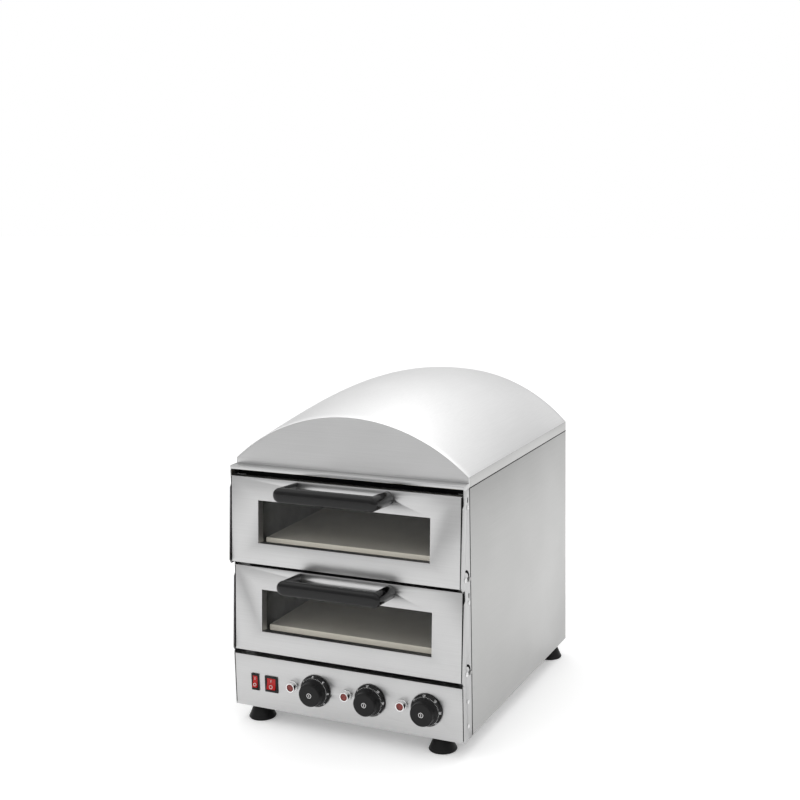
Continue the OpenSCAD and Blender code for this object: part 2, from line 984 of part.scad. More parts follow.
// The plate that closes the door's back, with the core that meets the chamber's mouth
module door_pan(z) {
    core_w = mouth_w + 2 * core_lap;
    core_z = mouth_z - 6;
    color("silver") difference() {
        union() {
            door_frame(z) face_plate(door_t, pan_t) {
                translate([-pan_hw, skin_t + 0.2]) square([2 * pan_hw, door_h - 2 * skin_t - 0.4]);
            }
            intersection() {
                door_frame(z) block([-core_w / 2, door_t, 0], [core_w / 2, 2 * post_d, door_h - 8]);
                block([-core_w / 2, 0, z + core_z], [core_w / 2, pan_y, z + mouth_z + mouth_h + 8]);
            }
        }
        door_frame(z) {
            face_plate(0, 2 * post_d) window_outline(pan_step);
            face_plate(door_t + pan_t, 2 * post_d) window_outline(core_step);
        }
    }
}

module door_glass(z) {
    color("lightblue", 0.5) door_frame(z) face_plate(reveal_d, glass_t) window_outline(glass_lap);
}

// The seal that meets the frame round the chamber's mouth
module door_gasket(z) {
    color("black") face_plate(pan_y, gasket_t) difference() {
        translate([-mouth_w / 2 - gasket_w, z + mouth_z - gasket_w]) {
            square([mouth_w + 2 * gasket_w, mouth_h + 2 * gasket_w]);
        }
        translate([-mouth_w / 2, z + mouth_z]) square([mouth_w, mouth_h]);
    }
}

// Plates inside the door's ends: each turns on a hinge screw and carries a guide stud
module door_ears(z) {
    lobe_r = 4.4;
    color("silver") both_sides() {
        difference() {
            union() {
                intersection() {
                    side_plate(ear_x, ear_t) square([2 * post_d, z + 2 * door_h]);
                    door_frame(z) {
                        block([0, skin_t + 0.2, skin_t + 0.5], [half_w, door_t - 1, door_h - skin_t - 2]);
                    }
                }
                side_plate(ear_x, ear_t) translate([0, z]) {
                    translate([stud_y, stud_z]) circle(lobe_r);
                    polygon([
                        [pivot_y - 4, 4], [stud_y, stud_z - lobe_r],
                        [stud_y, stud_z + lobe_r], [pivot_y - 4, pivot_z + 14]
                    ]);
                }
            }
            rod_x(0, pivot_y, z + pivot_z, pin_r + pin_clear, half_w);
        }
        rod_x(ear_x, stud_y, z + stud_z, stud_r, half_w + head_gap - ear_x);
        rod_x(half_w + head_gap, stud_y, z + stud_z, stud_r + 1.8, head_t);
    }
}

// A bow handle: a flat bar with half-round ends, from which its legs run straight back
module door_handle(z) {
    leg_l = handle_reach - handle_bevel;
    color("black") door_frame(z) translate([0, 0, handle_z]) difference() {
        union() {
            both_sides() translate([end_x, 0, 0]) rotate([90, 0, 0]) {
                cylinder(r = handle_r, h = leg_l);
                translate([0, 0, leg_l]) cylinder(r1 = handle_r, r2 = bar_half, h = handle_bevel);
            }
            side_plate(-end_x, 2 * end_x) polygon([
                [0, -handle_r], [-leg_l, -handle_r], [-handle_reach, -bar_half],
                [-handle_reach, bar_half], [-leg_l, handle_r], [0, handle_r]
            ]);
        }
        block(
            [1 - end_x, handle_t - handle_reach, -handle_r - 1],
            [end_x - 1, 1, handle_r + 1]
        );
        both_sides() rod_y(leg_x, -bore_depth, 0, handle_screw_r, bore_depth + 1);
    }
}

module door_handle_screws(z) {
    color("silver") door_frame(z) both_sides() {
        rod_y(leg_x, -bore_depth + 2, handle_z, handle_screw_r, bore_depth - 2 + skin_t);
        rod_y(leg_x, skin_t, handle_z, 4.5, 3);
    }
}

module upper_door_skin() {
    door_skin(upper_z);
}

module upper_door_pan() {
    door_pan(upper_z);
}

module upper_door_glass() {
    door_glass(upper_z);
}

module upper_door_gasket() {
    door_gasket(upper_z);
}

module upper_door_ears() {
    door_ears(upper_z);
}

module upper_door_handle() {
    door_handle(upper_z);
}

module upper_handle_screws() {
    door_handle_screws(upper_z);
}

module lower_door_skin() {
    door_skin(lower_z);
}

module lower_door_pan() {
    door_pan(lower_z);
}

module lower_door_glass() {
    door_glass(lower_z);
}

module lower_door_gasket() {
    door_gasket(lower_z);
}

module lower_door_ears() {
    door_ears(lower_z);
}

module lower_door_handle() {
    door_handle(lower_z);
}

module lower_handle_screws() {
    door_handle_screws(lower_z);
}

place() bottom_pan();
place() left_side_panel();
place() right_side_panel();
place() left_front_post();
place() right_front_post();
place() front_ledge();
place() control_panel();
place() heat_shield();
place() rear_panel();
place() roof_cover();
place() roof_gables();
place() roof_deck();
place() upper_liner();
place() lower_liner();
place() insulation();
place() upper_stone();
place() lower_stone();
place() stone_ledges();
place() upper_elements();
place() lower_elements();
place() thermostat_bulbs();
place() oven_lamps();
place() timer();
place() upper_thermostat();
place() lower_thermostat();
place() lamp_bezels();
place() lamp_lenses();
place() light_switch_housing();
place() main_switch_housing();
place() terminal_block();
place() cable_gland();
place() feet();
place() foot_screws();
place() casing_screws();
place() hinge_screws();
place() upper_door_skin();
place() upper_door_pan();
place() upper_door_glass();
place() upper_door_gasket();
place() upper_door_ears();
place() upper_door_handle();
place() upper_handle_screws();
place() lower_door_skin();
place() lower_door_pan();
place() lower_door_glass();
place() lower_door_gasket();
place() lower_door_ears();
place() lower_door_handle();
place() lower_handle_screws();
place() timer_knob();
place() timer_shaft();
place() upper_knob();
place() upper_shaft();
place() lower_knob();
place() lower_shaft();
place() light_rocker();
place() main_rocker();
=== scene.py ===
"""Looks of a countertop deck oven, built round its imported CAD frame.

Every piece is in metres in the CAD's own frame: x across, y from the doors to the back, z up from
the worktop. Each sub-assembly is a class that builds its meshes, dresses them and gives them to the
body that they ride on. What repeats, such as screws, louvres, dial ticks and grip ribs, comes from
Geometry Nodes.
"""

import json
import logging
import math
from collections.abc import Callable, Iterable, Sequence
from dataclasses import dataclass, field
from enum import Enum

import bmesh
import bpy
from mathutils import Matrix, Vector


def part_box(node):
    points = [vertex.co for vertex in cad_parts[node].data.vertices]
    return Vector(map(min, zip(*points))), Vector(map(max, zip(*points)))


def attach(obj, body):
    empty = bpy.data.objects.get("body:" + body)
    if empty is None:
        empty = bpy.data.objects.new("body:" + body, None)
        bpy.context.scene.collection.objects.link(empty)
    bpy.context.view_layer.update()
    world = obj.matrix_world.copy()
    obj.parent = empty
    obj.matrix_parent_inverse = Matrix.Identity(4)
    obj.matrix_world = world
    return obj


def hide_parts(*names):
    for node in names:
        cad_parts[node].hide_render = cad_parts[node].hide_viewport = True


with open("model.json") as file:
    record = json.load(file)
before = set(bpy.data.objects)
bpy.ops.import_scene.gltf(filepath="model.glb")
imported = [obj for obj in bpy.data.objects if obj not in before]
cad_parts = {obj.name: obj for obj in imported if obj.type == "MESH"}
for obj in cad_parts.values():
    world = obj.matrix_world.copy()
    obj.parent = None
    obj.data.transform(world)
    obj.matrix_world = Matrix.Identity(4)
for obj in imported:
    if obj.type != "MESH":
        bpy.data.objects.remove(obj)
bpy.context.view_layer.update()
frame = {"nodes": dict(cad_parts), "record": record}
MM = 0.001
NODE_BODY = {
    node: body for body, nodes in frame["record"]["behaviour"]["bodies"].items() for node in nodes
}
DOOR_LEAN = math.radians(4.2)
log = logging.getLogger("deck_oven")

Point2 = tuple[float, float]
Point3 = tuple[float, float, float]


class Axis(Enum):
    """Direction of a brushed grain or of a turned part."""

    X = 0
    Y = 1
    Z = 2


# ---------------------------------------------------------------- node trees


def linear(hex_colour: str) -> tuple[float, float, float, float]:
    """Turns an sRGB hex colour such as "c8c8c6" into linear RGBA.

    Args:
        hex_colour: six hex digits.

    Returns:
        The linear colour with an alpha of one.
    """
    channels = [int(hex_colour[i:i + 2], 16) / 255 for i in (0, 2, 4)]
    values = [c / 12.92 if c <= 0.04045 else ((c + 0.055) / 1.055) ** 2.4 for c in channels]
    return values[0], values[1], values[2], 1.0


def add_node(
    tree: bpy.types.NodeTree,
    kind: str,
    values: dict | None = None,
    links: dict | None = None,
    **settings: object,
) -> bpy.types.Node:
    """Adds one node with its settings, input values and links.

    Args:
        tree: the tree that gets the node.
        kind: the node's type name.
        values: input socket (name or index) to its value.
        links: input socket (name or index) to the output socket that feeds it.
        **settings: the node's own attributes.

    Returns:
        The new node.
    """
    node = tree.nodes.new(kind)
    for key, value in settings.items():
        setattr(node, key, value)
    for key, value in (values or {}).items():
        node.inputs[key].default_value = value
    for key, socket in (links or {}).items():
        tree.links.new(socket, node.inputs[key])
    return node


def new_material(name: str) -> tuple[bpy.types.Material, bpy.types.NodeTree, bpy.types.Node]:
    """Makes an empty node material.

    Args:
        name: the material's name.

    Returns:
        The material, its tree and its Principled shader.
    """
    material = bpy.data.materials.new(name)
    material.use_nodes = True
    tree = material.node_tree
    tree.nodes.clear()
    shader = add_node(tree, "ShaderNodeBsdfPrincipled")
    add_node(tree, "ShaderNodeOutputMaterial", links={0: shader.outputs[0]})
    return material, tree, shader


def noise(
    tree: bpy.types.NodeTree, scale: Sequence[float], detail: float, rough: float = 0.5
) -> bpy.types.NodeSocket:
    """Adds noise on Object coordinates.

    Args:
        tree: the material's tree.
        scale: features per metre along x, y and z.
        detail: the noise's octaves.
        rough: how strong the finer octaves are.

    Returns:
        The noise's factor socket.
    """
    place = add_node(tree, "ShaderNodeTexCoord")
    stretched = add_node(
        tree, "ShaderNodeMapping", {"Scale": tuple(scale)}, {"Vector": place.outputs["Object"]}
    )
    grain = add_node(
        tree, "ShaderNodeTexNoise", {"Scale": 1.0, "Detail": detail, "Roughness": rough},
        {"Vector": stretched.outputs[0]},
    )
    return grain.outputs["Fac"]


def span(
    tree: bpy.types.NodeTree, source: bpy.types.NodeSocket, low: float, high: float
) -> bpy.types.NodeSocket:
    """Spreads a noise factor's middle range over low to high.

    Args:
        tree: the material's tree.
        source: the factor.
        low: the result at a factor of 0.3.
        high: the result at a factor of 0.7.

    Returns:
        The spread value's socket.
    """
    node = add_node(
        tree, "ShaderNodeMapRange",
        {"From Min": 0.3, "From Max": 0.7, "To Min": low, "To Max": high}, {"Value": source},
    )
    return node.outputs[0]


def blended(
    tree: bpy.types.NodeTree, factor: bpy.types.NodeSocket, first: str, second: str
) -> bpy.types.NodeSocket:
    """Blends two hex colours by a factor and gives the colour's socket."""
    mix = add_node(tree, "ShaderNodeMix", links={0: factor}, data_type="RGBA")
    mix.inputs[6].default_value = linear(first)
    mix.inputs[7].default_value = linear(second)
    return mix.outputs[2]


def bump(
    tree: bpy.types.NodeTree, height: bpy.types.NodeSocket, depth: float, below: object = None
) -> bpy.types.NodeSocket:
    """Adds a bump of a real depth in metres, over another normal if one is given."""
    node = add_node(
        tree, "ShaderNodeBump", {"Strength": 1.0, "Distance": depth}, {"Height": height}
    )
    if below is not None:
        tree.links.new(below, node.inputs["Normal"])
    return node.outputs[0]


# ---------------------------------------------------------------- finishes

# How far handling and haze take a finish's roughness below and above its own.
WEAR_LESS = 0.05
WEAR_MORE = 0.08


@dataclass(frozen=True)
class BrushedSteel:
    """Stainless sheet, belt-brushed along one axis: satin, with fine lines and handling marks."""

    name: str
    grain: Axis
    light: str = "c3c3c3"
    dark: str = "bcbcbc"
    roughness: float = 0.34
    spread: float = 0.03
    # Real brush lines are about 0.1 mm apart; at this size they only show when drawn 1.5 mm apart.
    line_mm: float = 1.5
    run_mm: float = 160.0
    line_depth: float = 0.0009 * MM

    def material(self) -> bpy.types.Material:
        """Builds the finish."""
        material, tree, shader = new_material(self.name)
        across, along = 1 / (self.line_mm * MM), 1 / (self.run_mm * MM)
        scale = [across, across, across]
        scale[self.grain.value] = along
        lines = noise(tree, scale, 4.0, 0.65)
        marks = noise(tree, (9.0, 9.0, 9.0), 3.0)
        shader.inputs["Metallic"].default_value = 1.0
        shade = blended(tree, span(tree, lines, 0.0, 1.0), self.dark, self.light)
        tree.links.new(shade, shader.inputs["Base Color"])
        both = add_node(
            tree, "ShaderNodeMath",
            links={0: span(tree, lines, -self.spread / 2, self.spread / 2),
                   1: span(tree, marks, self.roughness - self.spread,
                           self.roughness + self.spread)},
            operation="ADD",
        )
        tree.links.new(both.outputs[0], shader.inputs["Roughness"])
        tree.links.new(bump(tree, lines, self.line_depth), shader.inputs["Normal"])
        return material


@dataclass(frozen=True)
class MillSteel:
    """Plain cold-rolled or heat-stained sheet: duller, with cloudy patches instead of lines."""

    name: str
    light: str
    dark: str
    roughness: float = 0.42
    patch_mm: float = 45.0

    def material(self) -> bpy.types.Material:
        """Builds the finish."""
        material, tree, shader = new_material(self.name)
        clouds = noise(tree, [1 / (self.patch_mm * MM)] * 3, 5.0, 0.6)
        pits = noise(tree, [1 / (2.2 * MM)] * 3, 2.0)
        shader.inputs["Metallic"].default_value = 1.0
        tree.links.new(
            blended(tree, span(tree, clouds, 0.0, 1.0), self.dark, self.light),
            shader.inputs["Base Color"],
        )
        tree.links.new(
            span(tree, clouds, self.roughness + 0.1, self.roughness - 0.06),
            shader.inputs["Roughness"],
        )
        tree.links.new(bump(tree, pits, 0.01 * MM), shader.inputs["Normal"])
        return material


@dataclass(frozen=True)
class BrightPlate:
    """Zinc, nickel or chrome plate on a small turned part: bright, with a faint haze."""

    name: str
    colour: str = "d4d4d2"
    roughness: float = 0.18

    def material(self) -> bpy.types.Material:
        """Builds the finish."""
        material, tree, shader = new_material(self.name)
        haze = noise(tree, [1 / (1.4 * MM)] * 3, 3.0)
        shader.inputs["Metallic"].default_value = 1.0
        shader.inputs["Base Color"].default_value = linear(self.colour)
        tree.links.new(
            span(tree, haze, self.roughness - WEAR_LESS, self.roughness + WEAR_MORE),
            shader.inputs["Roughness"],
        )
        return material


@dataclass(frozen=True)
class MouldedPlastic:
    """Moulded phenolic, ABS or rubber: one colour, a fine mould grain and faintly worn gloss."""

    name: str
    colour: str
    worn: str
    roughness: float
    coat: float = 0.0
    grain_mm: float = 0.9
    grain_depth: float = 0.012 * MM
    ior: float = 1.5

    def material(self) -> bpy.types.Material:
        """Builds the finish."""
        material, tree, shader = new_material(self.name)
        grain = noise(tree, [1 / (self.grain_mm * MM)] * 3, 3.0)
        wear = noise(tree, [1 / (14 * MM)] * 3, 4.0, 0.6)
        tree.links.new(
            blended(tree, span(tree, wear, 0.0, 1.0), self.colour, self.worn),
            shader.inputs["Base Color"],
        )
        tree.links.new(
            span(tree, wear, self.roughness - WEAR_LESS, self.roughness + WEAR_MORE),
            shader.inputs["Roughness"],
        )
        tree.links.new(bump(tree, grain, self.grain_depth), shader.inputs["Normal"])
        shader.inputs["IOR"].default_value = self.ior
        shader.inputs["Coat Weight"].default_value = self.coat
        shader.inputs["Coat Roughness"].default_value = 0.08
        return material


@dataclass(frozen=True)
class FiredStone:
    """Cordierite or ceramic: matt, cream, with fine grit and pale baked patches."""

    name: str
    light: str
    dark: str
    roughness: float = 0.85
    grit_mm: float = 1.6
    # The glow is painted light on the stone's front edge: it stands in for the room's light, which
    # the glass would otherwise keep from it.
    glow: float = 0.0

    def material(self) -> bpy.types.Material:
        """Builds the finish."""
        material, tree, shader = new_material(self.name)
        grit = noise(tree, [1 / (self.grit_mm * MM)] * 3, 4.0, 0.7)
        patches = noise(tree, [1 / (60 * MM)] * 3, 3.0)
        both = add_node(
            tree, "ShaderNodeMath", {1: 0.5},
            {0: span(tree, grit, 0.0, 1.0), 2: span(tree, patches, 0.0, 0.5)},
            operation="MULTIPLY_ADD",
        )
        tree.links.new(
            blended(tree, both.outputs[0], self.dark, self.light), shader.inputs["Base Color"]
        )
        shader.inputs["Roughness"].default_value = self.roughness
        shader.inputs["Emission Color"].default_value = linear(self.light)
        shader.inputs["Emission Strength"].default_value = self.glow
        tree.links.new(bump(tree, grit, 0.12 * MM), shader.inputs["Normal"])
        return material


@dataclass(frozen=True)
class Wool:
    """Rock wool board: matt khaki fibres."""

    name: str = "rock_wool_board"

    def material(self) -> bpy.types.Material:
        """Builds the finish."""
        material, tree, shader = new_material(self.name)
        fibres = noise(tree, (1 / (2 * MM), 1 / (9 * MM), 1 / (2 * MM)), 5.0, 0.75)
        tree.links.new(
            blended(tree, span(tree, fibres, 0.0, 1.0), "7d7352", "b0a67e"),
            shader.inputs["Base Color"],
        )
        shader.inputs["Roughness"].default_value = 0.95
        tree.links.new(bump(tree, fibres, 0.8 * MM), shader.inputs["Normal"])
        return material


@dataclass(frozen=True)
class ClearGlass:
    """Thin toughened glass: light passes straight through it, less what its smoky tint takes."""

    name: str
    tint: str = "17191a"
    veil: float = 0.3
    roughness: float = 0.02
    # A pane reflects at both faces, which this index gives at one.
    ior: float = 1.9

    def material(self) -> bpy.types.Material:
        """Builds the finish."""
        material, tree, shader = new_material(self.name)
        haze = noise(tree, (14.0, 14.0, 30.0), 3.0)
        shader.inputs["Base Color"].default_value = linear(self.tint)
        shader.inputs["Alpha"].default_value = self.veil
        shader.inputs["IOR"].default_value = self.ior
        tree.links.new(
            span(tree, haze, self.roughness, self.roughness + 0.04), shader.inputs["Roughness"]
        )
        return material


@dataclass(frozen=True)
class LampLens:
    """Clear-tinted polycarbonate lens over a neon lamp, which lights it faintly."""

    name: str
    colour: str
    glow: str
    strength: float

    def material(self) -> bpy.types.Material:
        """Builds the finish."""
        material, tree, shader = new_material(self.name)
        ripple = noise(tree, [1 / (1.1 * MM)] * 3, 2.0)
        tree.links.new(
            blended(tree, span(tree, ripple, 0.0, 1.0), self.colour, self.glow),
            shader.inputs["Base Color"],
        )
        shader.inputs["Roughness"].default_value = 0.12
        shader.inputs["IOR"].default_value = 1.58
        shader.inputs["Emission Color"].default_value = linear(self.glow)
        shader.inputs["Emission Strength"].default_value = self.strength
        return material


class Finishes:
    """Every finish of the oven, each made once and kept by its maker's name."""

    def __init__(self) -> None:
        """Builds all the materials."""
        made = [
            # Doors, panel, ledge and gable are brushed along x, the sides along y.
            BrushedSteel("stainless_brushed_across", Axis.X),
            BrushedSteel("stainless_brushed_back", Axis.Y, light="b3b3b2", dark="adadac"),
            BrushedSteel("stainless_brushed_up", Axis.Z, light="bababa", dark="b2b2b2"),
            # The gable's copy of the steel is toned lighter than the front's: painted light.
            BrushedSteel("stainless_gable", Axis.X, light="cbcbcb", dark="c4c4c4", roughness=0.4),
            # The roof's copy of the steel is toned near white: painted light from above.
            BrushedSteel(
                "stainless_bright_roof", Axis.Y, light="f0f0f0", dark="ebebeb", roughness=0.38,
                line_depth=0.0005 * MM,
            ),
            MillSteel("stainless_mill", "b4b4b4", "a2a2a2"),
            MillSteel("aluminised_chamber_steel", "b5b5b3", "9c9c9a", 0.5),
            # Dark steel: heat-blackened on the chamber's mouth frame, and painted shade on the roof
            # deck seen through the seams.
            MillSteel("blackened_frame_steel", "202021", "161617", 0.6),
            BrightPlate("zinc_plate", "9c9c9b", 0.28),
            BrightPlate("chrome_plate", "e6e6e6", 0.08),
            BrightPlate("copper_tube", "b87048", 0.3),
            MillSteel("element_sheath", "3b3d3c", "262827", 0.55, 20.0),
            MouldedPlastic("phenolic_handle", "030303", "050506", 0.17, ior=1.4),
            MouldedPlastic("phenolic_dial", "060607", "0a0a0b", 0.32, ior=1.34),
            MouldedPlastic("switch_housing_abs", "070707", "0c0c0c", 0.4, ior=1.36),
            MouldedPlastic("rocker_red_polycarbonate", "b00b07", "9e0905", 0.2, ior=1.42),
            MouldedPlastic("foot_rubber", "040405", "070708", 0.42, grain_mm=1.6, ior=1.3),
            MouldedPlastic("door_seal_silicone", "1c1c1c", "262626", 0.6),
            # A matt black laid along the casing's seams and the doors' ends: painted shade of the
            # gaps there.
            MouldedPlastic("black_seam_mastic", "050505", "090909", 0.7, ior=1.3),
            MouldedPlastic("mark_ink", "dededc", "cfcfcd", 0.55),
            MouldedPlastic("steatite_ceramic", "e6e1d2", "d8d2c0", 0.3, coat=0.4),
            FiredStone("cordierite_stone", "e4e0d4", "d0cabb"),
            # The front edge's copy of the stone is lighter and glows: painted light where the
            # room's light falls on it.
            FiredStone("cordierite_sawn_edge", "fbf6e8", "efe8d6", glow=0.26),
            Wool(),
            ClearGlass("door_glass", veil=0.12),
            ClearGlass("lamp_jar_glass", "f2f2ea", 0.35, 0.08),
            LampLens("lamp_lens_amber", "560a04", "7c1a08", 0.12),
            LampLens("lamp_core_glow", "e8792c", "ff9a48", 0.9),
        ]
        self._by_name = {finish.name: finish.material() for finish in made}

    def __getitem__(self, name: str) -> bpy.types.Material:
        """The material of that name."""
        return self._by_name[name]


# ---------------------------------------------------------------- mesh tools


def to_object(name: str, mesh_data: bmesh.types.BMesh, smooth: float = 35.0) -> bpy.types.Object:
    """Turns a bmesh into a linked object at the origin.

    Args:
        name: the object's name.
        mesh_data: the bmesh, which is freed.
        smooth: edges sharper than this angle in degrees stay sharp.

    Returns:
        The object.
    """
    mesh = bpy.data.meshes.new(name)
    mesh_data.to_mesh(mesh)
    mesh_data.free()
    return link_mesh(name, mesh, smooth)


def link_mesh(name: str, mesh: bpy.types.Mesh, smooth: float = 35.0) -> bpy.types.Object:
    """Links a mesh as an object, shaded smooth but for its sharp edges."""
    piece = bpy.data.objects.new(name, mesh)
    bpy.context.scene.collection.objects.link(piece)
    mesh.shade_smooth()
    mesh.set_sharp_from_angle(angle=math.radians(smooth))
    return piece


def evaluated(piece: bpy.types.Object, smooth: float = 35.0) -> bpy.types.Object:
    """Replaces an object's modifiers with their result as a plain mesh.

    Args:
        piece: the object with its modifiers.
        smooth: edges sharper than this angle in degrees stay sharp.

    Returns:
        The same object.
    """
    graph = bpy.context.evaluated_depsgraph_get()
    mesh = bpy.data.meshes.new_from_object(piece.evaluated_get(graph), depsgraph=graph)
    piece.modifiers.clear()
    old = piece.data
    piece.data = mesh
    mesh.name = piece.name
    bpy.data.meshes.remove(old)
    mesh.shade_smooth()
    mesh.set_sharp_from_angle(angle=math.radians(smooth))
    return piece


def rounded_edges(
    piece: bpy.types.Object, radius: float, segments: int = 3, angle: float = 30.0
) -> bpy.types.Object:
    """Rounds an object's edges, as a folded or moulded edge is.

    Args:
        piece: the object.
        radius: the rounding's radius in metres.
        segments: how many steps the rounding has.
        angle: only edges sharper than this, in degrees, are rounded.

    Returns:
        The same object.
    """
    bevel = piece.modifiers.new("fold", "BEVEL")
    bevel.width = radius
    bevel.segments = segments
    bevel.limit_method = "ANGLE"
    bevel.angle_limit = math.radians(angle)
    bevel.use_clamp_overlap = True
    return evaluated(piece)


def outward(mesh_data: bmesh.types.BMesh) -> None:
    """Merges doubles and turns every face outwards."""
    bmesh.ops.remove_doubles(mesh_data, verts=mesh_data.verts, dist=1e-6)
    bmesh.ops.recalc_face_normals(mesh_data, faces=mesh_data.faces)


def lathe(
    name: str, profile: Sequence[Point2], centre: Vector, axis: Vector, steps: int = 72
) -> bpy.types.Object:
    """Turns a profile round an axis.

    Args:
        name: the object's name.
        profile: (radius, height along the axis) from one pole to the other.
        centre: the axis's point at height zero.
        axis: the direction of increasing height.
        steps: faces round the axis.

    Returns:
        The closed object.
    """
    turn = axis.to_track_quat("Z", "Y").to_matrix()
    data = bmesh.new()
    rings = []
    for radius, height in profile:
        if radius < 1e-7:
            rings.append([data.verts.new(centre + turn @ Vector((0, 0, height)))] * steps)
            continue
        angles = [2 * math.pi * i / steps for i in range(steps)]
        rings.append([
            data.verts.new(
                centre + turn @ Vector((radius * math.cos(a), radius * math.sin(a), height))
            )
            for a in angles
        ])
    for low, high in zip(rings, rings[1:]):
        for i in range(steps):
            corners = [low[i], low[(i + 1) % steps], high[(i + 1) % steps], high[i]]
            unique = list(dict.fromkeys(corners))
            if len(unique) > 2:
                data.faces.new(unique)
    outward(data)
    return to_object(name, data)


def prism(
    name: str,
    outline: Sequence[Point2],
    place: Callable[[float, float, float], Vector],
    depth: float,
) -> bpy.types.Object:
    """Extrudes a closed outline.

    Args:
        name: the object's name.
        outline: the outline's points.
        place: gives the point for the outline's two coordinates and the depth.
        depth: how far the outline is extruded.

    Returns:
        The closed object.
    """
    data = bmesh.new()
    near = [data.verts.new(place(u, v, 0.0)) for u, v in outline]
    far = [data.verts.new(place(u, v, depth)) for u, v in outline]
    data.faces.new(near)
    data.faces.new(list(reversed(far)))
    count = len(outline)
    for i in range(count):
        data.faces.new([near[i], far[i], far[(i + 1) % count], near[(i + 1) % count]])
    outward(data)
    return to_object(name, data)


def box_piece(name: str, low: Vector, high: Vector) -> bpy.types.Object:
    """A closed box between two corners, to be rounded or shaped further."""
    outline = [(low.x, low.z), (high.x, low.z), (high.x, high.z), (low.x, high.z)]
    return prism(name, outline, lambda u, v, d: Vector((u, low.y + d, v)), high.y - low.y)


def cad_copy(node: str, name: str) -> bpy.types.Object:
    """Copies a CAD node's mesh, with its loose triangles merged into flat faces.

    Args:
        node: the CAD node.
        name: the copy's name.

    Returns:
        The copy, with true edges that can be rounded.
    """
    data = bmesh.new()
    data.from_mesh(frame["nodes"][node].data)
    bmesh.ops.remove_doubles(data, verts=data.verts, dist=2e-6)
    bmesh.ops.dissolve_limit(
        data, angle_limit=math.radians(0.6), verts=data.verts, edges=data.edges
    )
    return to_object(name, data)


def paint(piece: bpy.types.Object, *materials: bpy.types.Material) -> bpy.types.Object:
    """Gives an object its materials, in place of any it has."""
    piece.data.materials.clear()
    for material in materials:
        piece.data.materials.append(material)
    return piece


def own(
    piece: bpy.types.Object, node: str, replace: Iterable[str] | None = None
) -> bpy.types.Object:
    """Gives a finished piece its body, and hides the CAD nodes that it stands for.

    Args:
        piece: the finished piece, at the origin.
        node: the CAD node whose body the piece takes.
        replace: the nodes that it stands for, which is the node itself if this is left out.

    Returns:
        The same piece.
    """
    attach(piece, NODE_BODY[node])
    nodes = [node] if replace is None else list(replace)
    if nodes:
        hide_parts(*nodes)
    log.info("%s rides on %s and stands for %s", piece.name, NODE_BODY[node], nodes)
    return piece


def keep_node(node: str, material: bpy.types.Material) -> None:
    """Keeps a CAD node as it is and gives it its finish."""
    paint(frame["nodes"][node], material)
    log.info("%s keeps its CAD shape with %s", node, material.name)


def joined(name: str, pieces: Sequence[bpy.types.Object]) -> bpy.types.Object:
    """Joins several objects into one mesh and keeps their materials.

    Args:
        name: the joined object's name.
        pieces: the objects, which are removed.

    Returns:
        The joined object.
    """
    data = bmesh.new()
    materials: list[bpy.types.Material] = []
    for piece in pieces:
        start = len(data.faces)
        data.from_mesh(piece.data)
        data.faces.ensure_lookup_table()
        indices = []
        for material in piece.data.materials:
            if material not in materials:
                materials.append(material)
            indices.append(materials.index(material))
        for face in data.faces[start:]:
            face.material_index = indices[face.material_index] if indices else 0
        mesh = piece.data
        bpy.data.objects.remove(piece)
        bpy.data.meshes.remove(mesh)
    whole = to_object(name, data)
    return paint(whole, *materials)


# ---------------------------------------------------------------- Geometry Nodes


class NodesMaker:
    """A Geometry Nodes tree with named inputs, run once on an object to make a plain mesh."""

    def __init__(self, name: str) -> None:
        """Starts an empty tree with a geometry input and output."""
        self.tree = bpy.data.node_groups.new(name, "GeometryNodeTree")
        self.sockets: dict[str, bpy.types.NodeTreeInterfaceSocket] = {}
        face = self.tree.interface
        face.new_socket(name="Geometry", in_out="INPUT", socket_type="NodeSocketGeometry")
        face.new_socket(name="Geometry", in_out="OUTPUT", socket_type="NodeSocketGeometry")
        self.given = self.tree.nodes.new("NodeGroupInput")

    def input(self, name: str, kind: str) -> bpy.types.NodeSocket:
        """Adds a named input of a socket kind such as "Float" and gives its socket."""
        socket = self.tree.interface.new_socket(
            name=name, in_out="INPUT", socket_type=f"NodeSocket{kind}"
        )
        self.sockets[name] = socket
        return self.given.outputs[name]

    def add(
        self, kind: str, values: dict | None = None, links: dict | None = None, **settings: object
    ) -> bpy.types.Node:
        """Adds one node to this tree, as add_node does."""
        return add_node(self.tree, kind, values, links, **settings)

    def finish(self, instances: bpy.types.NodeSocket, material: bpy.types.NodeSocket) -> None:
        """Ends the tree: instances become real and get their material."""
        real = self.add("GeometryNodeRealizeInstances", links={0: instances})
        dressed = self.add(
            "GeometryNodeSetMaterial", links={"Geometry": real.outputs[0], "Material": material}
        )
        self.add("NodeGroupOutput", links={0: dressed.outputs[0]})

    def run(self, base: bpy.types.Object, inputs: dict[str, object]) -> bpy.types.Object:
        """Runs the tree on an object.

        Args:
            base: the object that carries the modifier; its mesh is the tree's geometry.
            inputs: input name to value.

        Returns:
            The same object with the tree's result as its plain mesh.
        """
        modifier = base.modifiers.new(self.tree.name, "NODES")
        modifier.node_group = self.tree
        for name, value in inputs.items():
            modifier[self.sockets[name].identifier] = value
        return evaluated(base)


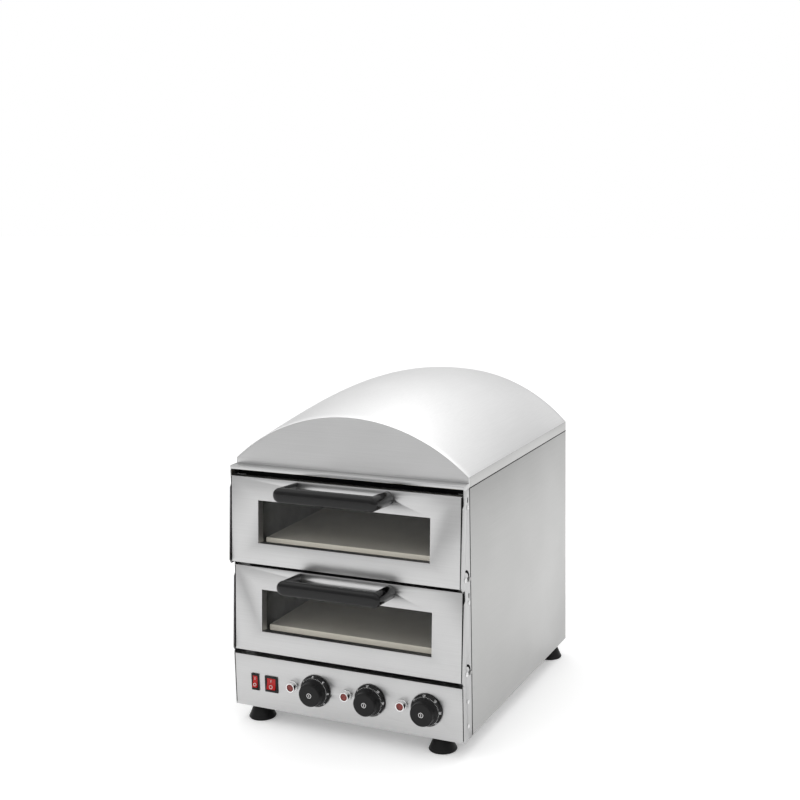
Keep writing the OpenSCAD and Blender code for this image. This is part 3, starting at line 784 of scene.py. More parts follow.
def copies_tree() -> NodesMaker:
    """A tree that puts a turned copy of an object on every vertex of a mesh.

    Returns:
        The tree, whose inputs are Shape, Axis, Spin, Seed and Finish.
    """
    maker = NodesMaker("copies_on_points")
    shape = maker.input("Shape", "Object")
    axis = maker.input("Axis", "Vector")
    spin = maker.input("Spin", "Float")
    seed = maker.input("Seed", "Int")
    finish = maker.input("Finish", "Material")
    source = maker.add("GeometryNodeObjectInfo", links={"Object": shape})
    # The random node's float sockets are its third and fourth inputs and its second output.
    chance = maker.add(
        "FunctionNodeRandomValue", {2: 0.0}, {3: spin, "Seed": seed}, data_type="FLOAT"
    )
    facing = maker.add("FunctionNodeAlignRotationToVector", links={"Vector": axis}, axis="Z")
    own_turn = maker.add(
        "FunctionNodeAxisAngleToRotation", {"Axis": (0, 0, 1)}, {"Angle": chance.outputs[1]}
    )
    turned = maker.add(
        "FunctionNodeRotateRotation",
        links={0: facing.outputs[0], 1: own_turn.outputs[0]}, rotation_space="LOCAL",
    )
    placed = maker.add(
        "GeometryNodeInstanceOnPoints",
        links={"Points": maker.given.outputs[0], "Instance": source.outputs["Geometry"],
               "Rotation": turned.outputs[0]},
    )
    maker.finish(placed.outputs[0], finish)
    return maker


def ring_tree() -> NodesMaker:
    """A tree that puts bars round an arc in the x-z plane, every nth one longer.

    Returns:
        The tree, whose inputs are Count, Radius, Start, Sweep, Width, Length, Long, Every, Depth
        and Finish. A bar points away from the arc's middle, and its inner end is on the radius.
    """
    maker = NodesMaker("bars_round_an_arc")
    count = maker.input("Count", "Int")
    radius = maker.input("Radius", "Float")
    start = maker.input("Start", "Float")
    sweep_angle = maker.input("Sweep", "Float")
    width = maker.input("Width", "Float")
    length = maker.input("Length", "Float")
    longer = maker.input("Long", "Float")
    every = maker.input("Every", "Int")
    depth = maker.input("Depth", "Float")
    finish = maker.input("Finish", "Material")

    def math_node(operation: str, first: object, second: object) -> bpy.types.NodeSocket:
        """One maths node on two sockets or numbers."""
        node = maker.add("ShaderNodeMath", operation=operation)
        for i, item in enumerate((first, second)):
            if isinstance(item, (int, float)):
                node.inputs[i].default_value = item
            else:
                maker.tree.links.new(item, node.inputs[i])
        return node.outputs[0]

    line = maker.add("GeometryNodeMeshLine", {"Offset": (0, 0, 0)}, {"Count": count})
    index = maker.add("GeometryNodeInputIndex").outputs[0]
    share = math_node("DIVIDE", index, math_node("MAXIMUM", math_node("SUBTRACT", count, 1), 1))
    angle = math_node("ADD", start, math_node("MULTIPLY", share, sweep_angle))
    is_long = math_node("LESS_THAN", math_node("MODULO", index, every), 0.5)
    extent = math_node("ADD", length, math_node("MULTIPLY", is_long, longer))
    reach = math_node("ADD", radius, math_node("MULTIPLY", extent, 0.5))
    spot = maker.add(
        "ShaderNodeCombineXYZ",
        links={0: math_node("MULTIPLY", reach, math_node("SINE", angle, 0)),
               2: math_node("MULTIPLY", reach, math_node("COSINE", angle, 0))},
    )
    points = maker.add(
        "GeometryNodeSetPosition", links={"Geometry": line.outputs[0], "Position": spot.outputs[0]}
    )
    turn = maker.add("FunctionNodeAxisAngleToRotation", {"Axis": (0, 1, 0)}, {"Angle": angle})
    size = maker.add("ShaderNodeCombineXYZ", links={0: width, 1: depth, 2: extent})
    bar = maker.add("GeometryNodeMeshCube", {"Size": (1, 1, 1)})
    placed = maker.add(
        "GeometryNodeInstanceOnPoints",
        links={"Points": points.outputs[0], "Instance": bar.outputs[0],
               "Rotation": turn.outputs[0], "Scale": size.outputs[0]},
    )
    maker.finish(placed.outputs[0], finish)
    return maker


def points_object(name: str, points: Sequence[Vector]) -> bpy.types.Object:
    """An object whose mesh is only the given points."""
    mesh = bpy.data.meshes.new(name)
    mesh.from_pydata([tuple(p) for p in points], [], [])
    piece = bpy.data.objects.new(name, mesh)
    bpy.context.scene.collection.objects.link(piece)
    return piece


def removed(piece: bpy.types.Object) -> None:
    """Removes a helper object and its mesh."""
    mesh = piece.data
    bpy.data.objects.remove(piece)
    bpy.data.meshes.remove(mesh)


@dataclass
class Workshop:
    """What every sub-assembly is built with: the finishes and the shared trees."""

    finishes: Finishes = field(default_factory=Finishes)
    copies: NodesMaker = field(default_factory=copies_tree)
    ring: NodesMaker = field(default_factory=ring_tree)

    def repeat(
        self, name: str, shape: bpy.types.Object, points: Sequence[Vector], axis: Vector,
        material: bpy.types.Material, spin: float = 0.0, seed: int = 3,
    ) -> bpy.types.Object:
        """Puts copies of a shape on points, facing an axis.

        Args:
            name: the result's name.
            shape: the object to copy, drawn along +z at the origin.
            points: where the copies go.
            axis: the direction that +z of each copy turns to.
            material: the copies' finish.
            spin: each copy is turned about its axis by a random angle up to this one.
            seed: fixes the random angles.

        Returns:
            The plain mesh object.
        """
        base = points_object(name, points)
        return self.copies.run(base, {
            "Shape": shape, "Axis": tuple(axis), "Spin": spin, "Seed": seed, "Finish": material,
        })


# ---------------------------------------------------------------- places

FACE_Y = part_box("control_panel")[0].y
BASE_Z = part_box("control_panel")[0].z


def at(x: float, y: float, z: float) -> Vector:
    """The frame's point for millimetres from the panel's face and the body's underside."""
    return Vector((x * MM, FACE_Y + y * MM, BASE_Z + z * MM))


def leaning(base_z: float, x: float, y: float, z: float) -> Vector:
    """The frame's point for millimetres in the frame of a closed door, which leans back.

    Args:
        base_z: height of the door's lower edge over the body's underside.
        x: across the door.
        y: back from the door's face.
        z: up along the door's face.

    Returns:
        The point in metres.
    """
    c, s = math.cos(DOOR_LEAN), math.sin(DOOR_LEAN)
    return at(x, y * c + z * s, base_z - y * s + z * c)


def screw_shape(radius: float, height: float) -> bpy.types.Object:
    """A pan head with a cross recess, drawn along +z from the sheet at the origin.

    Args:
        radius: the head's radius in metres.
        height: the head's height in metres.

    Returns:
        A helper object for Workshop.repeat.
    """
    steps, slot = 32, 0.2
    rings = ((1.0, 0.0), (1.0, 0.3), (0.93, 0.62), (0.72, 0.88), (0.46, 0.97))
    data = bmesh.new()
    loops = []
    for reach, up in rings:
        loops.append([
            data.verts.new((
                radius * reach * math.cos(2 * math.pi * i / steps),
                radius * reach * math.sin(2 * math.pi * i / steps),
                height * up,
            ))
            for i in range(steps)
        ])
    for low, high in zip(loops, loops[1:]):
        for i in range(steps):
            data.faces.new([low[i], low[(i + 1) % steps], high[(i + 1) % steps], high[i]])
    # The recess: a cross whose walls lean in to a floor at 0.35 of the height.
    arm, half = 0.44 * radius, 0.5 * slot * radius
    cross = [
        (arm, -half), (arm, half), (half, half), (half, arm), (-half, arm), (-half, half),
        (-arm, half), (-arm, -half), (-half, -half), (-half, -arm), (half, -arm), (half, -half),
    ]
    rim = [data.verts.new((x, y, height * 0.97)) for x, y in cross]
    floor = [data.verts.new((x * 0.72, y * 0.72, height * 0.35)) for x, y in cross]
    for i in range(len(cross)):
        data.faces.new([rim[i], rim[(i + 1) % 12], floor[(i + 1) % 12], floor[i]])
    data.faces.new(floor)
    top = [data.edges.get((loops[-1][i], loops[-1][(i + 1) % steps])) for i in range(steps)]
    inner = [data.edges.get((rim[i], rim[(i + 1) % 12])) for i in range(12)]
    bmesh.ops.bridge_loops(data, edges=top + inner)
    data.faces.new(list(reversed(loops[0])))
    bmesh.ops.triangulate(data, faces=[f for f in data.faces if len(f.verts) > 4])
    outward(data)
    return to_object("screw_shape", data, 40.0)


# ---------------------------------------------------------------- sub-assemblies


@dataclass
class Casing:
    """The folded sheet body: sides, posts, ledge, roof, back and the hidden sheets inside."""

    shop: Workshop
    fold_radius: float = 0.6 * MM
    louvre_length: float = 90.0
    louvre_out: float = 4.0
    louvre_rise: float = 8.0

    def build(self) -> None:
        """Builds every sheet of the casing."""
        finish = self.shop.finishes
        sheets = {
            "left_side_panel": "stainless_brushed_back",
            "right_side_panel": "stainless_brushed_back",
            "left_front_post": "stainless_brushed_up",
            "right_front_post": "stainless_brushed_up",
            "front_ledge": "stainless_brushed_across",
            "roof_gables": "stainless_gable",
            "bottom_pan": "stainless_mill",
        }
        for node, name in sheets.items():
            piece = cad_copy(node, f"{node}_sheet")
            rounded_edges(piece, self.fold_radius, 2)
            own(paint(piece, finish[name]), node)
        self.rear()
        keep_node("heat_shield", finish["stainless_mill"])
        # The roof deck is dark only as painted shade, seen through the seams at the roof's edges.
        keep_node("roof_deck", finish["blackened_frame_steel"])
        keep_node("insulation", finish["rock_wool_board"])

    def rear(self) -> None:
        """The rear panel with a pressed hood over each louvre."""
        finish = self.shop.finishes
        panel = rounded_edges(cad_copy("rear_panel", "rear_panel_sheet"), self.fold_radius, 2)
        own(paint(panel, finish["stainless_mill"]), "rear_panel")
        low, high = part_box("rear_panel")
        rows = [(side * 80.0, 0.62 * 433.0 + 14 * j) for side in (-1, 1) for j in range(6)]
        rows += [(-60.0, 26.0 + 14 * j) for j in range(4)]
        back_y = (high.y - FACE_Y) / MM
        shape = self.hood()
        hoods = self.shop.repeat(
            "rear_louvre_hoods", shape, [at(x, back_y, z) for x, z in rows], Vector((0, 0, 1)),
            finish["stainless_mill"],
        )
        removed(shape)
        own(hoods, "rear_panel", [])

    def hood(self) -> bpy.types.Object:
        """One pressed louvre hood over a slot, open below, with its ends closed and rounded."""
        data = bmesh.new()
        half, out, rise = self.louvre_length / 2 * MM, self.louvre_out * MM, self.louvre_rise * MM
        across, steps = 14, 7
        columns = []
        for i in range(across + 1):
            t = -1 + 2 * i / across
            shrink = math.sqrt(max(0.0, 1 - abs(t) ** 9))
            column = []
            for j in range(steps + 1):
                a = math.pi / 2 * j / steps
                column.append(data.verts.new((
                    half * t,
                    out * shrink * math.cos(a) + 0.0001,
                    (rise - 3 * MM) * math.sin(a) * (0.4 + 0.6 * shrink),
                )))
            columns.append(column)
        for left, right in zip(columns, columns[1:]):
            for j in range(steps):
                data.faces.new([left[j], right[j], right[j + 1], left[j + 1]])
        bmesh.ops.remove_doubles(data, verts=data.verts, dist=1e-6)
        bmesh.ops.recalc_face_normals(data, faces=data.faces)
        shell = to_object("hood_shape", data)
        solid = shell.modifiers.new("sheet", "SOLIDIFY")
        solid.thickness = 0.8 * MM
        solid.offset = 1.0
        return evaluated(shell)


@dataclass
class Roof:
    """The thin domed cover, whose front edge is the gable's arc."""

    shop: Workshop
    rise: float = 87.0
    lift: float = 10.0
    bulge: float = 29.7
    side: float = 17.8
    sheet: float = 1.5
    hem_radius: float = 0.5
    across: int = 64
    along: int = 40
    flange_facing: float = 0.95

    def build(self) -> None:
        """Builds the cover as one skin, gives it its thickness and dresses its side flanges."""
        cover = to_object("roof_cover_sheet", self.skin())
        wall = cover.modifiers.new("sheet", "SOLIDIFY")
        wall.thickness = self.sheet * MM
        wall.offset = -1.0
        evaluated(cover)
        rounded_edges(cover, self.hem_radius * MM, 2)
        finish = self.shop.finishes
        # The roof's near-white steel is painted light from above.
        paint(cover, finish["stainless_bright_roof"], finish["stainless_brushed_back"])
        for face in cover.data.polygons:
            if abs(face.normal.x) > self.flange_facing:
                face.material_index = 1
        own(cover, "roof_cover")

    def skin(self) -> bmesh.types.BMesh:
        """The cover's outer skin, from one eave over the arc to the other.

        Returns:
            A bmesh with a row of vertices for each step from front to back.
        """
        low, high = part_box("roof_cover")
        half = high.x
        data = bmesh.new()
        rows = []
        for k in range(self.along + 1):
            share = k / self.along
            y = low.y + share * (high.y - low.y)
            rise = (self.rise + self.lift * share + 4 * self.bulge * share * (1 - share)) * MM
            radius = (half * half + rise * rise) / (2 * rise)
            eave = low.z + self.side * MM
            row = [data.verts.new((-half, y, low.z))]
            for i in range(self.across + 1):
                x = half * (2 * i / self.across - 1)
                z = eave + rise - radius + math.sqrt(radius * radius - x * x)
                row.append(data.verts.new((x, y, z)))
            row.append(data.verts.new((half, y, low.z)))
            rows.append(row)
        for near, far in zip(rows, rows[1:]):
            for i in range(len(near) - 1):
                data.faces.new([near[i], near[i + 1], far[i + 1], far[i]])
        return data


@dataclass
class Seams:
    """Black strips in the long seams of the casing, as painted shade of the seams' shadow gaps."""

    shop: Workshop
    half: float = 225.0
    sheet: float = 1.5
    post: float = 36.0
    seam: float = 1.2
    side_h: float = 433.0
    depth: float = 540.0
    panel_h: float = 97.0
    line: float = 1.6
    proud: float = 0.06
    sunk: float = 0.2

    def spans(self) -> tuple[tuple[Point3, Point3], ...]:
        """The two corners of each bead on one side, in millimetres.

        Returns:
            The beads from post to side panel, side panel to roof and control panel to post.
        """
        inner = self.half - self.sheet
        face = self.half + self.proud
        half_line = self.line / 2
        return (
            ((inner + self.sunk, self.post - 0.6, 1.0),
             (face, self.post + self.seam + 1.2, self.side_h)),
            ((inner + self.sunk, self.post, self.side_h - self.sunk),
             (face, self.depth - self.sunk, self.side_h + self.seam + 0.5)),
            ((inner - half_line, -self.proud, 4.0), (inner + half_line, 1.0, self.panel_h)),
        )

    def build(self) -> None:
        """Lays the beads on both sides."""
        beads = []
        for side in (-1, 1):
            for low, high in self.spans():
                near, far = at(side * low[0], low[1], low[2]), at(side * high[0], high[1], high[2])
                corners = [Vector(map(f, near, far)) for f in (min, max)]
                beads.append(rounded_edges(box_piece("bead", *corners), 0.05 * MM, 2))
        # The strips are black as painted shade of the gaps between the sheets.
        seam_shade_black = self.shop.finishes["black_seam_mastic"]
        own(paint(joined("casing_seam_mastic", beads), seam_shade_black), "left_side_panel", [])


@dataclass
class Door:
    """One drop-down glass door with its handle."""

    shop: Workshop
    side: str
    base_z: float
    handle_z: float = 140.8
    handle_end: float = 86.0
    handle_reach: float = 67.0
    handle_r: float = 13.0
    handle_t: float = 13.0
    crown: float = 5.5
    width: float = 443.8
    height: float = 153.6
    gap_shade_w: float = 1.3
    gap_shade_t: float = 0.3

    def build(self) -> None:
        """Builds the door's sheets, glass, seal, ears and handle."""
        finish = self.shop.finishes
        plain = {
            "skin": ("stainless_brushed_across", 0.4),
            "pan": ("stainless_mill", 0.4),
            "ears": ("zinc_plate", 0.25),
        }
        for part, (name, radius) in plain.items():
            node = f"{self.side}_door_{part}"
            piece = rounded_edges(cad_copy(node, f"{node}_sheet"), radius * MM, 2)
            own(paint(piece, finish[name]), node)
        keep_node(f"{self.side}_door_glass", finish["door_glass"])
        self.seal()
        self.handle()
        self.edging()

    def edging(self) -> None:
        """Thin black strips down both ends of the door, against the post plates: painted shade of
        the gaps between door and plates.
        """
        end = self.width / 2
        lip, wall = end - self.gap_shade_w, end - self.gap_shade_t
        face, depth = -0.08, 16.0
        section = (
            (lip, face), (end, face), (end + 0.1, depth),
            (wall, depth), (wall, self.gap_shade_t), (lip, self.gap_shade_t),
        )
        strips = []
        for side in (-1, 1):
            outline = [(side * x, y) for x, y in section]
            strips.append(prism(
                "edging", outline, lambda u, v, d: leaning(self.base_z, u, v, 0.6 + d / MM),
                self.height * MM,
            ))
        # The strips are black as painted shade of the gap between door and post plate.
        seam_shade_black = self.shop.finishes["black_seam_mastic"]
        edging = paint(joined(f"{self.side}_door_edging", strips), seam_shade_black)
        own(edging, f"{self.side}_door_skin", [])

    def seal(self) -> None:
        """The silicone seal round the chamber's mouth, with a rounded face."""
        node = f"{self.side}_door_gasket"
        piece = rounded_edges(cad_copy(node, f"{node}_cord"), 0.7 * MM, 3)
        own(paint(piece, self.shop.finishes["door_seal_silicone"]), node)

    def handle(self) -> None:
        """The bow handle: a crowned bar with half-round ends and two D-shaped legs."""
        data = bmesh.new()
        power, turns = 2.3, 9
        rings = []
        for k in range(turns + 1):
            a = math.radians(6 + 84 * k / turns)
            radius = (self.handle_r - 0.3) * math.sin(a) ** (2 / power)
            drop = self.crown * (1 - math.cos(a) ** (2 / power))
            rings.append(self.bar_ring(data, radius, -self.handle_reach + drop))
        # A raised parting line runs round the bar behind the crown.
        front = -self.handle_reach + self.crown
        for radius, y in ((-0.3, 0.6), (0.0, 0.9), (0.0, 1.7), (-0.3, 2.0)):
            rings.append(self.bar_ring(data, self.handle_r + radius, front + y))
        rings.append(self.bar_ring(data, self.handle_r - 0.3, self.handle_t - self.handle_reach))
        count = len(rings[0])
        for low, high in zip(rings, rings[1:]):
            for i in range(count):
                data.faces.new([low[i], low[(i + 1) % count], high[(i + 1) % count], high[i]])
        data.faces.new(rings[0])
        last, half = rings[-1], count // 2
        data.faces.new([last[half - 2], last[half - 1], last[count - 2], last[count - 1]])
        for start in (0, half):
            near = [last[start - 1]] + last[start:start + half - 1]
            far = [data.verts.new(self.on_door(vertex)) for vertex in near]
            for i in range(half):
                data.faces.new([near[i], near[(i + 1) % half], far[(i + 1) % half], far[i]])
            data.faces.new(far)
        outward(data)
        piece = to_object(f"{self.side}_door_handle_bow", data, 30.0)
        rounded_edges(piece, 0.8 * MM, 2, 50)
        own(paint(piece, self.shop.finishes["phenolic_handle"]), f"{self.side}_door_handle")
        keep_node(f"{self.side}_handle_screws", self.shop.finishes["zinc_plate"])

    def bar_ring(
        self, data: bmesh.types.BMesh, radius: float, y: float
    ) -> list[bmesh.types.BMVert]:
        """One ring round the bar: a half circle at each end, joined by straight edges.

        Args:
            data: the bmesh that gets the ring.
            radius: half the ring's height in millimetres.
            y: its distance from the door's face.

        Returns:
            The ring's vertices, with the leg's inner edges last in each half.
        """
        steps, end = 16, self.handle_end
        ring = []
        for side in (1, -1):
            for i in range(steps + 1):
                a = math.radians(-90 + 180 * i / steps)
                ring.append((side * (end + radius * math.cos(a)), side * radius * math.sin(a)))
            ring.append((side * (end - 1), side * radius))
            ring.append((-side * (end - 1), side * radius))
        return [
            data.verts.new(leaning(self.base_z, x, y, self.handle_z + z)) for x, z in ring
        ]

    def on_door(self, vertex: bmesh.types.BMVert) -> Vector:
        """The point on the door's face straight behind a vertex of the bar's back."""
        bar_back = self.handle_t - self.handle_reach
        return vertex.co + leaning(self.base_z, 0, 0, 0) - leaning(self.base_z, 0, bar_back, 0)


@dataclass
class Chamber:
    """One baking chamber: its sheet, its elements and its stone."""

    shop: Workshop
    side: str
    front_facing: float = -0.6

    def build(self) -> None:
        """Dresses the chamber and rounds the stone."""
        finish = self.shop.finishes
        self.sheet()
        keep_node(f"{self.side}_elements", finish["element_sheath"])
        node = f"{self.side}_stone"
        stone = rounded_edges(cad_copy(node, f"{node}_slab"), 1.6 * MM, 3)
        paint(stone, finish["cordierite_stone"], finish["cordierite_sawn_edge"])
        # The front-facing faces get the lighter, glowing copy of the stone: painted light on its
        # front edge.
        for face in stone.data.polygons:
            if face.normal.y < self.front_facing:
                face.material_index = 1
        own(stone, node)

    def sheet(self) -> None:
        """The chamber's sheet, whose frame round the mouth is blackened by the oven's heat."""
        node = f"{self.side}_liner"
        piece = cad_copy(node, f"{node}_sheet")
        paint(
            piece, self.shop.finishes["aluminised_chamber_steel"],
            self.shop.finishes["blackened_frame_steel"],
        )
        frame_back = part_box(node)[0].y + 1.2 * MM
        for face in piece.data.polygons:
            points = [piece.data.vertices[i].co.y for i in face.vertices]
            if max(points) < frame_back:
                face.material_index = 1
        own(piece, node)


@dataclass
class Dial:
    """A moulded dial with a bevelled skirt, a grip and a printed scale."""

    shop: Workshop
    node: str
    labels: tuple[str, ...]
    start: float = -52.0
    sweep: float = 235.0
    ticks: int = 41
    every: int = 8
    tick_r: float = 25.0
    label_r: float = 27.2
    label_h: float = 3.4
    ring_inner: float = 3.7
    ring_outer: float = 4.5
    ring_low: float = 25.3
    ring_high: float = 25.65

    def build(self) -> None:
        """Builds the dial's body, ticks, numbers and shaft."""
        low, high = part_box(f"{self.node}_knob")
        centre = Vector(((low.x + high.x) / 2, FACE_Y, (low.z + high.z) / 2))
        skirt = [
            (0.0, 2.0), (28.3, 2.0), (28.9, 2.5), (29.0, 3.6), (28.7, 4.2), (24.6, 9.3),
            (24.2, 9.6), (23.4, 9.7), (23.2, 10.0), (23.0, 12.2), (22.7, 12.6), (21.8, 12.8),
            (21.5, 13.2), (20.8, 23.8), (20.4, 25.1), (19.4, 25.8), (18.2, 26.0), (9.0, 25.5),
            (0.0, 25.4),
        ]
        body = lathe(
            f"{self.node}_dial_body", [(r * MM, h * MM) for r, h in skirt], centre,
            Vector((0, -1, 0)), 96,
        )
        finish = self.shop.finishes
        own(paint(body, finish["phenolic_dial"]), f"{self.node}_knob")
        self.scale(centre)
        keep_node(f"{self.node}_shaft", finish["zinc_plate"])

    def scale(self, centre: Vector) -> None:
        """Prints ticks and numbers on the skirt, and a ring on the grip's end."""
        finish = self.shop.finishes
        base = points_object(f"{self.node}_dial_ticks", [Vector((0, 0, 0))])
        ring = self.shop.ring.run(base, {
            "Count": self.ticks, "Radius": self.tick_r * MM, "Start": math.radians(self.start),
            "Sweep": math.radians(self.sweep), "Width": 0.5 * MM, "Length": 0.7 * MM,
            "Long": 0.5 * MM, "Every": self.every, "Depth": 0.2 * MM,
            "Finish": finish["mark_ink"],
        })
        lay_on_skirt(ring.data, centre)
        marks = [ring]
        for i, label in enumerate(self.labels):
            angle = math.radians(self.start + self.sweep * i / (len(self.labels) - 1))
            marks.append(printed_label(
                label, self.label_h * MM, self.label_r * MM, angle, centre, finish["mark_ink"]
            ))
        inner, outer = self.ring_inner * MM, self.ring_outer * MM
        bottom, top = self.ring_low * MM, self.ring_high * MM
        profile = [(inner, bottom), (inner, top), (outer, top), (outer, bottom), (inner, bottom)]
        middle = lathe("grip_ring", profile, centre, Vector((0, -1, 0)), 40)
        marks.append(paint(middle, finish["mark_ink"]))
        low = centre + Vector((-0.45, -25.65, -2.3)) * MM
        bar = box_piece("grip_bar", low, low + Vector((0.9, 0.35, 4.6)) * MM)
        marks.append(paint(bar, finish["mark_ink"]))
        own(joined(f"{self.node}_dial_marks", marks), f"{self.node}_knob", [])


def skirt_height(radius: float) -> float:
    """Height of a dial's bevelled skirt in front of the panel, for a radius in metres."""
    share = (28.7 * MM - radius) / (28.7 * MM - 24.6 * MM)
    return 4.2 * MM + share * (9.3 - 4.2) * MM


def lay_on_skirt(mesh: bpy.types.Mesh, centre: Vector) -> None:
    """Moves a mesh drawn flat round the origin onto a dial's sloping skirt."""
    for vertex in mesh.vertices:
        x, y, z = vertex.co
        radius = math.hypot(x, z)
        vertex.co = centre + Vector((x, y - skirt_height(radius), z))
    mesh.update()


def printed_label(
    text: str, size: float, radius: float, angle: float, centre: Vector, ink: bpy.types.Material
) -> bpy.types.Object:
    """A thin printed number on a dial's skirt, upright when its dial is turned to it.

    Args:
        text: digits.
        size: their height in metres.
        radius: where their middle is.
        angle: from the top, clockwise, in radians.
        centre: the dial's axis on the panel's face.
        ink: the print's finish.

    Returns:
        The print as a mesh.
    """
    curve = bpy.data.curves.new(f"label_{text}", "FONT")
    curve.body = text
    curve.size = size
    curve.extrude = 0.06 * MM
    curve.align_x = "CENTER"
    curve.align_y = "CENTER"
    curve.resolution_u = 3
    holder = bpy.data.objects.new(curve.name, curve)
    bpy.context.scene.collection.objects.link(holder)
    graph = bpy.context.evaluated_depsgraph_get()
    mesh = bpy.data.meshes.new_from_object(holder.evaluated_get(graph), depsgraph=graph)
    bpy.data.objects.remove(holder)
    bpy.data.curves.remove(curve)
    upright = Matrix.Rotation(math.pi / 2, 4, "X")
    mesh.transform(upright)
    mesh.transform(Matrix.Translation((0, 0, radius)))
    mesh.transform(Matrix.Rotation(angle, 4, "Y"))
    lay_on_skirt(mesh, centre)
    return paint(link_mesh(f"label_{text}", mesh), ink)


@dataclass
class PilotLamps:
    """Three pilot lamps: knurled nuts, plated tubes, and amber lenses set back in them."""

    shop: Workshop
    xs: tuple[float, ...] = (-104.0, 3.5, 111.0)
    z: float = 52.0
    knurls: int = 30

    def build(self) -> None:
        """Builds the tubes with their nuts, and the lenses."""
        finish = self.shop.finishes
        front = Vector((0, -1, 0))
        tube = [
            (6.3, 2.0), (8.5, 2.0), (8.5, 11.4), (8.2, 11.9), (7.7, 12.0), (6.6, 11.6),
            (6.3, 10.9), (6.3, 2.0),
        ]
        nut = [(6.4, 0.0), (8.9, 0.0), (9.1, 0.3), (9.1, 2.3), (8.8, 2.7), (8.2, 2.8), (6.4, 2.8),
               (6.4, 0.0)]
        lens = [(0.0, 4.0), (6.2, 4.0), (6.2, 9.4), (5.2, 9.9), (3.4, 10.1), (0.0, 10.2)]
        core = [(0.0, 9.8), (3.2, 9.8), (3.2, 10.2), (2.4, 10.7), (1.2, 10.5), (0.0, 10.5)]
        plated, lenses = [], []
        for x in self.xs:
            centre = at(x, 0, self.z)

            def turned(name: str, profile: list[Point2], look: str) -> bpy.types.Object:
                """One turned part of this lamp in its finish."""
                part = lathe(name, [(r * MM, h * MM) for r, h in profile], centre, front, 64)
                return paint(part, finish[look])

            plated.append(turned("tube", tube, "chrome_plate"))
            plated.append(turned("nut", nut, "zinc_plate"))
            base = points_object("knurls", [Vector((0, 0, 0))])
            knurls = self.shop.ring.run(base, {
                "Count": self.knurls, "Radius": 8.9 * MM, "Start": 0.0,
                "Sweep": 2 * math.pi * (1 - 1 / self.knurls), "Width": 1.0 * MM,
                "Length": 0.6 * MM, "Long": 0.0, "Every": 1, "Depth": 1.8 * MM,
                "Finish": finish["zinc_plate"],
            })
            knurls.data.transform(Matrix.Translation(centre + front * 1.3 * MM))
            plated.append(knurls)
            lenses.append(turned("lens", lens, "lamp_lens_amber"))
            lenses.append(turned("core", core, "lamp_core_glow"))
        own(joined("pilot_lamp_bezels", plated), "lamp_bezels")
        own(joined("pilot_lamp_lenses", lenses), "lamp_lenses")


@dataclass
class RockerSwitch:
    """A rocker switch: a housing with a rounded bezel and a red rocker with I and O marks."""

    shop: Workshop
    name: str
    x: float
    width: float
    height: float
    z: float = 48.0
    pivot_y: float = 3.0
    rest: float = 9.0
    frame: float = 3.6
    frame_share: float = 0.15

    def build(self) -> None:
        """Builds the housing, the rocker and its marks."""
        finish = self.shop.finishes
        node = f"{self.name}_switch_housing"
        housing = rounded_edges(cad_copy(node, f"{node}_frame"), 0.6 * MM, 3)
        own(paint(housing, finish["switch_housing_abs"]), node)
        rocker = f"{self.name}_rocker"
        tilt = Matrix.Rotation(math.radians(-self.rest), 4, "X")
        pivot = at(self.x, self.pivot_y, self.z)

        half = self.width * (0.5 - self.frame_share) - 0.3

        def place(u: float, v: float, w: float) -> Vector:
            """Outline (y, z) in the rocker's own frame, with w across its width."""
            return pivot + tilt @ Vector(((w - half) * MM, u * MM, v * MM))

        tip = self.height / 2 - self.frame - 1.2
        front = self.pivot_y + 3.4
        face = []
        for i in range(17):
            t = -1 + 2 * i / 16
            face.append((-front + 1.4 * (1 - abs(t) ** 1.6), -tip * t))
        outline = [(3, -4), (3, 4), (-front + 2, tip)] + face + [(-front + 2, -tip)]
        body = prism(f"{rocker}_body", outline, place, 2 * half)
        rounded_edges(body, 0.5 * MM, 3, 40)
        own(paint(body, finish["rocker_red_polycarbonate"]), rocker)
        own(self.marks(pivot, tilt, front, tip), rocker, [])

    def marks(self, pivot: Vector, tilt: Matrix, front: float, tip: float) -> bpy.types.Object:
        """White I and O marks, moulded into the rocker's two halves."""
        reach = self.width * (0.5 - self.frame_share)
        bar_half, bar_tall = 0.4, 0.22 * tip
        depth = -front + 0.75

        def on_face(u: float, v: float, y: float) -> Vector:
            """A point on the rocker's face; u across, v up, y from the pivot."""
            return pivot + tilt @ Vector((u * MM, y * MM, v * MM))

        bar = prism(
            "i_mark",
            [(-bar_half, -bar_tall), (bar_half, -bar_tall), (bar_half, bar_tall),
             (-bar_half, bar_tall)],
            lambda u, v, w: on_face(u, v + 0.52 * tip, depth - w), 0.4,
        )
        radius = min(0.42 * reach, 0.26 * tip)
        data = bmesh.new()
        rings = [
            [data.verts.new(on_face(r * math.cos(a), r * math.sin(a) - 0.52 * tip, y))
             for a in (2 * math.pi * i / 32 for i in range(32))]
            for r, y in ((radius, depth), (radius, depth - 0.4), (radius + 0.8, depth - 0.4),
                         (radius + 0.8, depth))
        ]
        for inner, outer in zip(rings, rings[1:] + rings[:1]):
            for i in range(32):
                data.faces.new([inner[i], inner[(i + 1) % 32], outer[(i + 1) % 32], outer[i]])
        outward(data)
        ring = to_object("o_mark", data)
        ink = self.shop.finishes["mark_ink"]
        return joined(f"{self.name}_rocker_marks", [paint(bar, ink), paint(ring, ink)])


